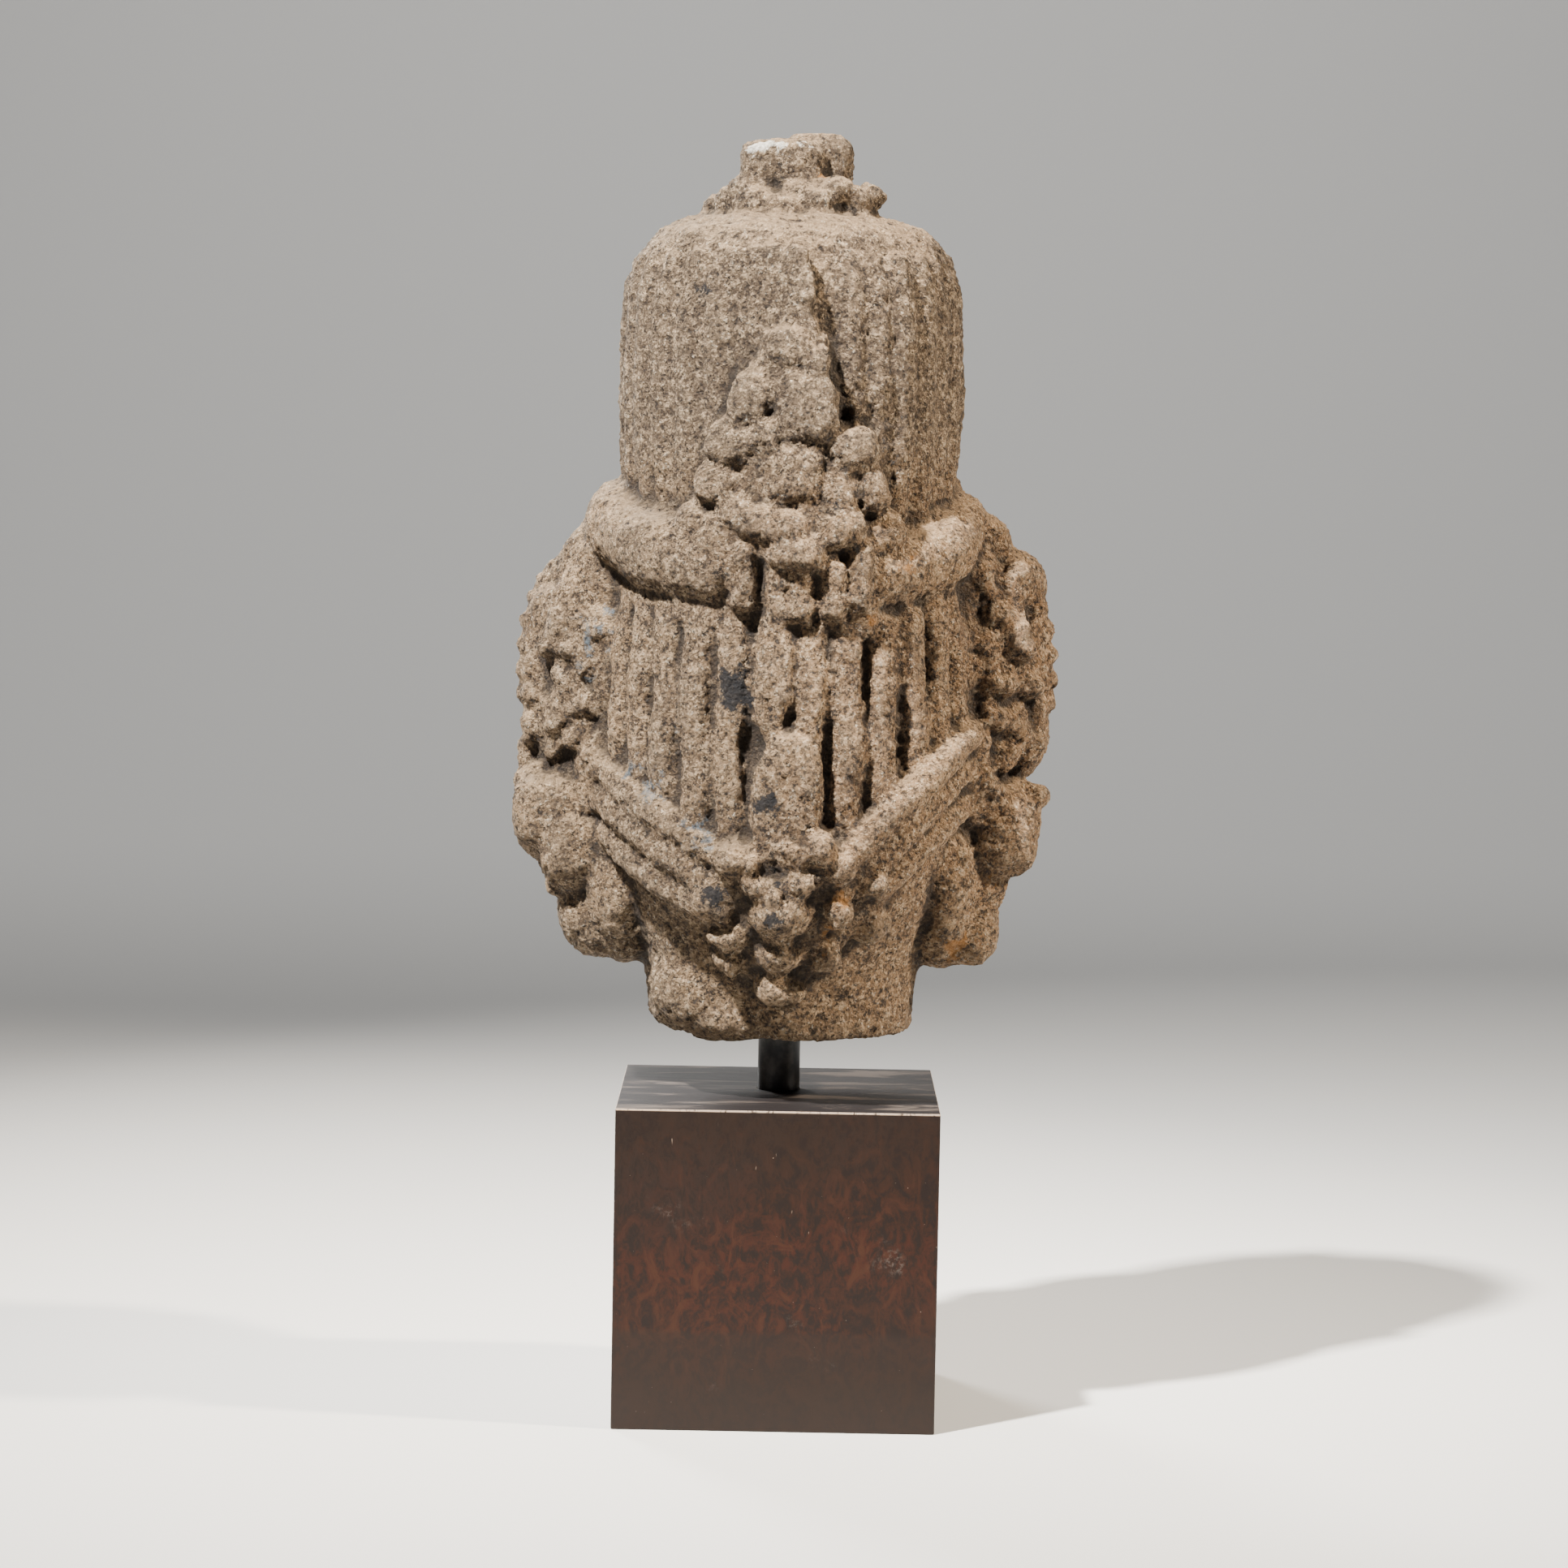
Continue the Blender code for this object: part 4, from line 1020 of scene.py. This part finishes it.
# Broken and hollowed places: side, back, up, radius, depth
dents = (
    (2.6, 19.6, 80.0, 2.2, 0.9), (4.8, 19.4, 73.0, 2.4, 0.9), (5.6, 19.0, 68.6, 2.2, 0.9),
    (-3.0, 20.9, 33.0, 3.4, 0.7), (-10.0, 14.2, 2.6, 2.6, 1.1), (-7.4, 15.2, 3.4, 2.4, 1.1),
    (-14.0, 12.0, 33.5, 2.6, 0.5), (11.5, 17.5, 41.0, 1.8, 0.5),
)


def strikeDents(mesh):
    places, normals = coordinates(mesh), triples(mesh.vertex_normals, "vector")
    for side, back, up, radius, depth in dents:
        near = np.linalg.norm(places - np.array((-side, back, up)), axis=1) / radius
        share = np.clip(1.0 - near, 0.0, 1.0)
        places -= normals * (share * share * (3 - 2 * share) * depth)[:, None]
    setCoordinates(mesh, places)


def outerSkin(mesh):  # drops any bubble sealed inside
    skin = bmesh.new()
    skin.from_mesh(mesh)
    waiting = set(skin.verts)
    shells = []
    while waiting:
        first = waiting.pop()
        shell, edge = [first], [first]
        while edge:
            for link in edge.pop().link_edges:
                for other in link.verts:
                    if other in waiting:
                        waiting.remove(other)
                        shell.append(other)
                        edge.append(other)
        shells.append(shell)
    shells.sort(key=len)
    for shell in shells[:-1]:
        bmesh.ops.delete(skin, geom=shell, context="VERTS")
    skin.to_mesh(mesh)
    skin.free()


# Stains and deposits: side, back, up, radius, how strong. They colour the stone round a point.
stains = {
    "soot": (
        (-5.4, 20.5, 39.5, 2.1, 1.0), (-1.9, 22.5, 27.5, 1.5, 0.9), (-7.3, 20.5, 17.3, 1.5, 0.9),
        (-1.2, 23.0, 14.9, 1.8, 0.9), (3.7, 20.6, 67.7, 1.5, 1.0), (-9.8, 16.0, 82.1, 1.2, 0.8),
        (4.9, 20.6, 60.2, 1.3, 0.8), (-0.4, 22.0, 19.4, 1.3, 0.6), (7.4, 20.6, 41.0, 1.2, 0.5),
        (3.6, 22.0, 18.6, 1.1, 0.6), (-16.0, 13.0, 24.5, 2.0, 0.25),
    ),
    "ochre": (
        (4.9, 19.5, 12.6, 1.7, 0.8), (6.1, 20.5, 17.4, 1.3, 0.8), (22.9, 4.0, 17.2, 1.8, 0.5),
        (19.0, 5.0, 10.8, 2.6, 0.6), (13.8, 19.0, 53.5, 2.4, 0.5), (9.6, 19.5, 47.0, 2.0, 0.3),
        (7.0, 18.0, 15.0, 1.6, 0.5), (2.6, 4.0, 95.2, 1.4, 0.4),
    ),
    "blue": (
        (-20.6, 5.6, 44.8, 2.6, 0.6), (-17.2, 13.2, 30.3, 2.2, 0.55), (-14.5, 15.8, 28.3, 2.4, 0.5),
        (-8.8, 19.6, 23.7, 2.2, 0.6), (-21.4, 4.6, 40.4, 2.2, 0.4), (-12.4, 17.4, 34.0, 1.8, 0.25),
    ),
    "chalk": (
        (-3.4, 5.2, 98.3, 0.9, 1.0), (-1.9, 5.3, 98.4, 0.8, 0.9), (-4.8, 4.8, 98.0, 0.8, 0.9),
        (1.0, 4.6, 98.2, 0.8, 0.7), (-0.6, 5.2, 97.4, 0.6, 0.7),
    ),
}


def smoothed(places, pairs, rounds):  # each point moved to the mean of its neighbours
    first, second = pairs

    def gathered(values):  # a value from each neighbour, added up
        return (
            np.bincount(first, values[second], len(places))
            + np.bincount(second, values[first], len(places))
        )

    count = np.maximum(gathered(np.ones(len(places))), 1)
    for _ in range(rounds):
        places = np.stack([gathered(places[:, axis]) for axis in range(3)], axis=1) / count[:, None]
    return places


def storeColours(mesh, name, values):
    mesh.attributes.new(name, "FLOAT_COLOR", "POINT").data.foreach_set("color", values.ravel())


masks = {
    # rounds of smoothing and gains that show how sunken a point is, and how far a stain reaches
    "nearRounds": 4, "farRounds": 36, "nearGain": 1.6, "farGain": 0.55, "stainReach": 1.7,
}


def storeMasks(mesh):  # how sunken each point is, near and far, and what stains it
    places = coordinates(mesh).astype(np.float64)
    normals = triples(mesh.vertex_normals, "vector")
    ends = np.empty(len(mesh.edges) * 2, np.int32)
    mesh.edges.foreach_get("vertices", ends)
    pairs = ends[0::2], ends[1::2]
    near = smoothed(places, pairs, masks["nearRounds"])
    far = smoothed(near, pairs, masks["farRounds"])
    sunkenNear = ((near - places) * normals).sum(1) / unit
    sunkenFar = ((far - places) * normals).sum(1) / unit
    values = np.zeros((len(places), 4), np.float32)
    values[:, 0] = np.clip(0.5 + sunkenNear * masks["nearGain"], 0, 1)
    values[:, 1] = np.clip(0.5 + sunkenFar * masks["farGain"], 0, 1)
    storeColours(mesh, "hollows", values)
    marks = np.zeros((len(places), 4), np.float32)
    for column, name in enumerate(("soot", "ochre", "blue", "chalk")):
        for side, back, up, radius, strength in stains[name]:
            centre = np.array((-side * unit, back * unit, stoneLow.z + up * unit))
            reach = radius * unit * masks["stainReach"]
            share = 1.0 - np.linalg.norm(places - centre, axis=1) / reach
            marks[:, column] = np.maximum(marks[:, column], np.clip(share, 0, 1) * strength)
    storeColours(mesh, "marks", marks)


carvedStone = {
    "margin": 0.00005,  # metres that the stone keeps inside its box
    "voxel": 0.36, "crevices": 0.22, "rubbing": 1, "mostTriangles": 192000,
    "weather": {
        "Swell": 46.0, "Swell Depth": 0.0040, "Lump": 165.0, "Lump Depth": 0.0021, "Grain": 520.0,
        "Grain Depth": 0.0031, "Pit": 300.0, "Pit Depth": 0.0009, "Seed": 4.0,
    },
}


def makeStoneHead():
    stone = carveAll()
    mesh = stone.fused(carvedStone["voxel"], carvedStone["crevices"], carvedStone["rubbing"])
    outerSkin(mesh)
    strikeDents(mesh)
    print("stone fused:", len(mesh.vertices), "points")
    heights = coordinates(mesh)[:, 2]
    share = (stoneHigh.z - stoneLow.z) / (heights.max() - heights.min())
    toFoot = Matrix.Translation((0, 0, -float(heights.min())))
    mesh.transform(Matrix.Translation((0, 0, stoneLow.z)) @ Matrix.Scale(share, 4) @ toFoot)
    material = makeStoneMaterial()
    mesh = runTree(makeWeatherTree(), mesh, {**carvedStone["weather"], "Material": material})
    head = newObject("carvedStoneHead", mesh)
    triangles = sum(len(face.vertices) - 2 for face in mesh.polygons)
    if triangles > carvedStone["mostTriangles"]:
        thin = head.modifiers.new("thin", "DECIMATE")
        thin.ratio = carvedStone["mostTriangles"] / triangles
        head.data = workedOut(head)
    low = np.array(stoneLow) + carvedStone["margin"]
    high = np.array(stoneHigh) - carvedStone["margin"]
    setCoordinates(head.data, np.clip(coordinates(head.data), low, high))
    head.data.materials.clear()
    head.data.materials.append(material)
    head.data.shade_smooth()
    storeMasks(head.data)
    print("stone finished:", triangles, "triangles thinned to", len(head.data.polygons), "faces")
    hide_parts("stone_head")
    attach(head, "root")


def newMaterial(name, constants):
    material = bpy.data.materials.new(name)
    material.use_nodes = True
    shader = material.node_tree.nodes["Principled BSDF"]
    for socket, value in constants.items():
        shader.inputs[socket].default_value = value
    return material, Sheet(material.node_tree), shader


def feed(sheet, shader, **wires):
    for name, wire in wires.items():
        sheet.tree.links.new(wire.socket, shader.inputs[name.replace("_", " ")])


stoneColours = {
    "tan": (0.262, 0.172, 0.096), "grey": (0.128, 0.094, 0.063), "warm": (0.31, 0.160, 0.066),
    "dark": (0.018, 0.014, 0.012), "brown": (0.066, 0.045, 0.031), "pale": (0.54, 0.405, 0.265),
    "dust": (0.41, 0.292, 0.176), "crystalGlint": (0.80, 0.70, 0.55), "soot": (0.010, 0.011, 0.015),
    "ochre": (0.36, 0.165, 0.045), "blue": (0.13, 0.185, 0.235), "chalk": (0.78, 0.75, 0.68),
}


def makeStoneMaterial():
    material, sheet, shader = newMaterial("weatheredStone", {"Specular IOR Level": 0.3})
    place = sheet.node("ShaderNodeTexCoord", out="Object")
    hollows = sheet.node("ShaderNodeAttribute", {"attribute_name": "hollows"})
    marks = sheet.node("ShaderNodeAttribute", {"attribute_name": "marks"})
    near, far = (sheet.channel(hollows, number) for number in range(2))
    soot, ochre, blue = (sheet.channel(marks, number) for number in range(3))
    chalk = sheet.node("ShaderNodeAttribute", {"attribute_name": "marks"}, out="Alpha")
    facingUp = sheet.axis(sheet.node("ShaderNodeNewGeometry", out="Normal"), 2)
    left, height = (sheet.axis(place, number) for number in (0, 2))
    # Angular grains about a millimetre across, each of its own kind, in a tan ground
    values = {"Vector": place, "Scale": 1500.0, "Detail": 2.0}
    wander = sheet.node("ShaderNodeTexNoise", {}, values, out="Color")
    wander = sheet.vectorMath("SCALE", {0: wander, 3: 0.0012})
    bent = sheet.vectorMath("ADD", [place, wander])
    kinds = sheet.channel(sheet.cells(bent, 1500.0, out="Color"), 0)
    sizes = sheet.channel(sheet.cells(bent, 820.0, out="Color"), 1)
    inGrain = sheet.cells(bent, 820.0)
    clots = sheet.noise(place, 120.0, 5.0, 0.65)
    rough = sheet.noise(place, 700.0, 5.0, 0.75, 0.5)
    coarse = sheet.noise(place, 330.0, 3.0, 0.6, 0.3)
    blotches = sheet.noise(place, 62.0, 6.0, 0.68)
    patches = sheet.noise(place, 15.0, 4.0, 0.55)
    warmSide = (left * -8.0 + 0.25 + (patches - 0.5) * 1.4).clamped()
    relief = coarse * 0.5 + rough * 0.5  # low in the pits, high on the standing grains
    share = kinds * 0.40 + sizes * 0.35 + clots * 0.30
    colour = sheet.layered(stoneColours["tan"], stoneColours, (
        (patches.ramped(0.40, 0.62) * 0.6, "grey"),
        (warmSide * 0.55, "warm"),
        (height.ramped(0.335, 0.375) * 0.8, "grey"),
        (share.ramped(0.50, 0.64) * 0.75, "brown"),
        (share.ramped(0.67, 0.76) * 0.9, "dark"),
        # painted highlight on the standing grains, partly wear
        ((relief - kinds * 0.10).ramped(0.45, 0.57) * 0.65, "pale"),
        (blotches.ramped(0.52, 0.66) * 0.45, "brown"),
    ))
    # Dust lies on ledges and in broad hollows
    worn = sheet.noise(place, 40.0, 5.0, 0.6)
    dusty = (facingUp * 0.85 + (far - 0.5) * 0.4 + worn * 1.1 + rough * 0.5).ramped(1.02, 1.50)
    dust = sheet.mix(warmSide * 0.3, stoneColours["dust"], stoneColours["warm"])
    colour = sheet.mix(dusty * 0.6, colour, dust)
    # Painted shade darkens grooves, crevices and pits, and painted highlights, partly wear, pale
    # what stands out
    # painted shade in grooves and recesses, less on ledges that face up
    grooves = far.ramped(0.60, 0.86) * 0.75 * (1.0 - facingUp.ramped(0.3, 0.8) * 0.6)
    # painted shade in narrow crevices
    creviceShade = (near * 1.1 - rough * 0.5).ramped(0.46, 0.70)
    # painted glints on light crystals, only where grains stand out of the hollows
    glint = kinds.ramped(0.94, 0.965)
    colour = sheet.layered(colour, stoneColours, (
        # painted highlight on outstanding edges, partly wear
        (far.ramped(0.42, 0.22) * 0.10, "pale"),
        # painted shade in grooves and recesses
        (grooves, "dark"),
        # painted shade in narrow crevices
        (creviceShade * 0.55, "dark"),
        # painted shade in the pits
        (relief.ramped(0.49, 0.40) * 0.8, "brown"),
        (relief.ramped(0.45, 0.37) * 0.92, "dark"),
        # painted glints on light crystals of the standing grains
        (glint * relief.ramped(0.48, 0.56) * far.ramped(0.58, 0.50) * 0.5, "crystalGlint"),
    ))
    # Stains, with their edges broken up
    edge = sheet.noise(place, 210.0, 5.0, 0.7)
    for name, mask, firmness in (
        ("blue", blue, 0.5), ("ochre", ochre, 0.65), ("soot", soot, 0.95), ("chalk", chalk, 0.95),
    ):
        spread = (mask + (edge - 0.5) * 2.4).ramped(0.34, 0.60) * firmness * mask.ramped(0.02, 0.2)
        colour = sheet.mix(spread, colour, stoneColours[name])
    roughness = 0.95 - glint * 0.45 * (1.0 - dusty) - soot * 0.15
    pitted = rough * 1.3 + coarse * 1.5 + clots * 0.6 - inGrain * 0.4 + kinds * 0.12
    pitted = pitted * (1.0 - dusty * 0.25)
    bump = sheet.bump(1.0, 0.0042, pitted)
    feed(sheet, shader, Base_Color=colour, Roughness=roughness.clamped(), Normal=bump)
    return material


block = {
    # metres; the drill is wider than the rod by the clearance and starts above the block
    "bevel": 0.0007, "bevelSteps": 3, "clearance": 0.0004, "drillAbove": 0.01,
}
rod = {"sides": 96, "chamfer": 0.0006}


def roundBar(radius, low, high):
    shape = bmesh.new()
    bmesh.ops.create_cone(
        shape, cap_ends=True, segments=rod["sides"], radius1=radius, radius2=radius,
        depth=high - low, matrix=Matrix.Translation((0, 0, (low + high) / 2)),
    )
    return shape


def dressMetal(thing, material):  # smooth faces that meet at crisp edges
    thing.data.shade_smooth()
    thing.data.set_sharp_from_angle(angle=math.radians(24))
    thing.data.materials.clear()
    thing.data.materials.append(material)


def makeBlock():
    shape = bmesh.new()
    middle = Matrix.Translation((blockLow + blockHigh) / 2)
    size = Matrix.Diagonal((*(blockHigh - blockLow), 1.0))
    bmesh.ops.create_cube(shape, size=1.0, matrix=middle @ size)
    bmesh.ops.bevel(
        shape, geom=shape.edges[:], offset=block["bevel"], segments=block["bevelSteps"],
        affect="EDGES", profile=0.6,
    )
    longEdges = [edge for edge in shape.edges if edge.calc_length() > 0.05]
    bmesh.ops.subdivide_edges(shape, edges=longEdges, cuts=5, use_grid_fill=True)
    cube = newObject("patinatedBlock", solidMesh(shape))
    radius = (rodHigh.x - rodLow.x) / 2 + block["clearance"]
    low, high = rodLow.z - block["clearance"], blockHigh.z + block["drillAbove"]
    drill = newObject("drill", solidMesh(roundBar(radius, low, high)))
    cut = cube.modifiers.new("socket", "BOOLEAN")
    cut.operation = "DIFFERENCE"
    cut.object = drill
    cube.data = workedOut(cube)
    bpy.data.objects.remove(drill)
    dressMetal(cube, makePatina())
    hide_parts("base_block")
    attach(cube, "root")


def makeRod():
    shape = roundBar((rodHigh.x - rodLow.x) / 2, rodLow.z, rodHigh.z)
    rims = [edge for edge in shape.edges if abs(edge.verts[0].co.z - edge.verts[1].co.z) < 1e-6]
    bmesh.ops.bevel(shape, geom=rims, offset=rod["chamfer"], segments=2, affect="EDGES")
    bar = newObject("blackenedBar", solidMesh(shape))
    dressMetal(bar, makeBlackenedSteel())
    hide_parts("mounting_rod")
    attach(bar, "root")


patinaColours = {
    "dark": (0.012, 0.008, 0.007), "brown": (0.018, 0.0100, 0.007), "red": (0.034, 0.0105, 0.0065),
    "rust": (0.042, 0.018, 0.010), "grey": (0.017, 0.0115, 0.0095), "haze": (0.105, 0.085, 0.073),
    "worn": (0.55, 0.42, 0.32), "black": (0.008, 0.007, 0.008),
}


def makePatina():
    constants = {"Metallic": 0.2, "Specular IOR Level": 0.22}
    material, sheet, shader = newMaterial("redBrownPatina", constants)
    place = sheet.node("ShaderNodeTexCoord", out="Object")
    side, lift = (sheet.axis(place, number) for number in (0, 2))
    top = blockHigh.z
    drawn = sheet.stretched(place, (1.0, 1.0, 0.62))
    clouds = sheet.noise(place, 17.0, 4.0, 0.55, 0.4)
    feathers = sheet.noise(drawn, 95.0, 6.0, 0.62, 2.4)
    fine = sheet.noise(drawn, 360.0, 5.0, 0.66, 1.6)
    mottle = feathers * 0.58 + fine * 0.42
    redness = (1.0 - abs(lift - 0.066) * 19.0 + (clouds - 0.5) * 2.2).clamped()  # about halfway up
    upper = (lift - 0.088 + side * 0.25 + (clouds - 0.5) * 0.10).ramped(-0.02, 0.03)
    # Painted reflection: the lowest part of the block greys as if the pale floor reflected in it
    lower = (lift + (fine - 0.5) * 0.004).ramped(0.0385, 0.0355)
    topFace = lift.ramped(top - 0.0003, top - 0.0001)
    # Painted reflections: grey streaks for the top face
    streaks = sheet.stretched(place, (16.0, 75.0, 30.0), (0.0, 0.0, 0.35))
    cloudy = sheet.noise(streaks, 1.0, 7.0, 0.62, 0.7)
    # Handling marks: specks, hair scratches, and hazy scuffs near the edges
    haze = sheet.noise(place, 34.0, 3.0, 0.5).ramped(0.60, 0.74)
    haze = haze * sheet.noise(place, 520.0, 4.0, 0.75).ramped(0.48, 0.66)
    specks = sheet.noise(place, 1100.0, 2.0, 0.5).ramped(0.74, 0.78)
    specks = specks * sheet.noise(place, 55.0, 2.0, 0.5).ramped(0.44, 0.60)
    scratch = sheet.stretched(place, (900.0, 900.0, 150.0), (0.0, 0.5, 0.0))
    scratches = sheet.noise(scratch, 1.0, 1.0, 0.5, 0.6).ramped(0.80, 0.83)
    # painted highlight along the top edge, partly edge wear
    rim = lift.ramped(top - 0.0010, top - 0.0006) * (1.0 - topFace)
    colour = sheet.layered(patinaColours["dark"], patinaColours, (
        (mottle.ramped(0.40, 0.56), "brown"),
        (redness * mottle.ramped(0.42, 0.60) * 0.8, "red"),
        (redness * feathers.ramped(0.54, 0.68) * 0.55, "rust"),
        (upper * (0.35 + 0.4 * fine.ramped(0.4, 0.6)), "grey"),
        # painted reflection of the floor
        (lower * (0.35 + 0.35 * mottle), "grey"),
        # painted shade: the top face nearly black
        (topFace * 0.85, "black"),
        # painted reflections: grey streaks on the top face
        (topFace * cloudy.ramped(0.50, 0.64) * 0.7, "haze"),
        (haze * 0.55, "haze"),
        ((specks + scratches * 0.5).clamped() * 0.6, "worn"),
        # painted highlight along the top edge, partly edge wear
        (rim * fine.ramped(0.30, 0.50) * 0.8, "worn"),
    ))
    roughness = 0.34 + mottle * 0.12 + haze * 0.2 + topFace * (0.08 + 0.22 * cloudy)
    bump = sheet.bump(0.18, 0.0005, mottle + haze * 0.5)
    feed(sheet, shader, Base_Color=colour, Roughness=roughness, Normal=bump)
    return material


def makeBlackenedSteel():
    material, sheet, shader = newMaterial("blackenedSteel", {"Metallic": 0.9})
    place = sheet.node("ShaderNodeTexCoord", out="Object")
    scratches = sheet.noise(sheet.stretched(place, (900.0, 900.0, 40.0)), 1.0, 4.0, 0.6)
    clouds = sheet.noise(place, 120.0, 4.0, 0.6)
    colour = sheet.mix(clouds.ramped(0.4, 0.7), (0.055, 0.056, 0.060), (0.12, 0.115, 0.11))
    bump = sheet.bump(0.15, 0.0002, scratches)
    feed(sheet, shader, Base_Color=colour, Roughness=0.26 + scratches * 0.2, Normal=bump)
    return material


backdrop = {
    "halfWidth": 7.0, "near": 6.0, "bendFrom": -2.4, "bendRadius": 1.4, "bendSteps": 16, "top": 6.0,
    "paper": (0.58, 0.575, 0.56, 1.0),
}


def makeFloor():  # pale paper that bends up behind the sculpture
    profile = [(backdrop["near"], 0.0)]
    radius, steps = backdrop["bendRadius"], backdrop["bendSteps"]
    for step in range(steps + 1):
        turn = math.pi / 2 * step / steps
        back = backdrop["bendFrom"] - radius * math.sin(turn)
        profile.append((back, radius * (1 - math.cos(turn))))
    profile.append((profile[-1][0], backdrop["top"]))
    points = [(side * backdrop["halfWidth"], y, z) for y, z in profile for side in (-1, 1)]
    faces = [(2 * i, 2 * i + 1, 2 * i + 3, 2 * i + 2) for i in range(len(profile) - 1)]
    mesh = bpy.data.meshes.new("paleFloor")
    mesh.from_pydata(points, [], faces)
    mesh.shade_smooth()
    floor = newObject("paleFloor", mesh)
    paper = {"Base Color": backdrop["paper"], "Roughness": 0.85}
    mesh.materials.append(newMaterial("palePaper", paper)[0])


view = {
    "distance": 1.716, "height": 0.3616, "tilt": 4.17, "roll": 1.05,
    # the lens's length and the frame's width in pixels, and the sensor's width in millimetres
    "lensPixels": 5580, "framePixels": 1932, "sensor": 36,
}


def makeCamera():
    data = bpy.data.cameras.new("camera")
    data.sensor_width = view["sensor"]
    data.lens = view["lensPixels"] / view["framePixels"] * view["sensor"]
    data.clip_start = 0.05
    camera = newObject("camera", data)
    place = Matrix.Translation((0, view["distance"], view["height"]))
    turn = Matrix.Rotation(math.pi, 4, "Z")
    tilt = Matrix.Rotation(math.radians(90 - view["tilt"]), 4, "X")
    roll = Matrix.Rotation(math.radians(view["roll"]), 4, "Z")
    camera.matrix_world = place @ turn @ tilt @ roll
    bpy.context.scene.camera = camera


# Softboxes with grids: place, what it points at, size, spread in degrees, power, colour
lights = {
    "left": ((0.92, 0.98, 2.02), (0.0, 0.0, 0.28), 0.09, 40.0, 16.0, (1.0, 0.95, 0.88)),
    "right": ((-1.75, 0.40, 1.45), (0.0, 0.0, 0.28), 0.14, 40.0, 7.5, (1.0, 0.87, 0.70)),
    "front": ((0.9, -1.6, 1.1), (0.0, 0.0, 0.30), 0.5, 60.0, 8.0, (1.0, 0.98, 0.96)),
    "paper": ((0.0, -2.0, 3.0), (0.0, -3.8, 1.6), 2.0, 180.0, 80.0, (1.0, 0.99, 0.98)),
    "floor": ((0.0, 0.2, 3.4), (0.0, -0.2, 0.0), 2.4, 150.0, 6.5, (1.0, 0.99, 0.98)),
}


def makeLights():
    for name, (place, target, size, spread, power, colour) in lights.items():
        data = bpy.data.lights.new(name, "AREA")
        data.size = size
        data.spread = math.radians(spread)
        data.energy = power
        data.color = colour
        lamp = newObject(name, data)
        lamp.location = place
        aim = Vector(target) - lamp.location
        lamp.rotation_euler = aim.to_track_quat("-Z", "Y").to_euler()
    world = bpy.data.worlds.new("studio")
    world.use_nodes = True
    glow = world.node_tree.nodes["Background"].inputs
    glow["Color"].default_value = (0.86, 0.87, 0.88, 1.0)
    glow["Strength"].default_value = 0.035
    bpy.context.scene.world = world


makeCamera()
makeLights()
makeFloor()
print("stage set")
makeRod()
makeBlock()
print("rod and block made")
makeStoneHead()
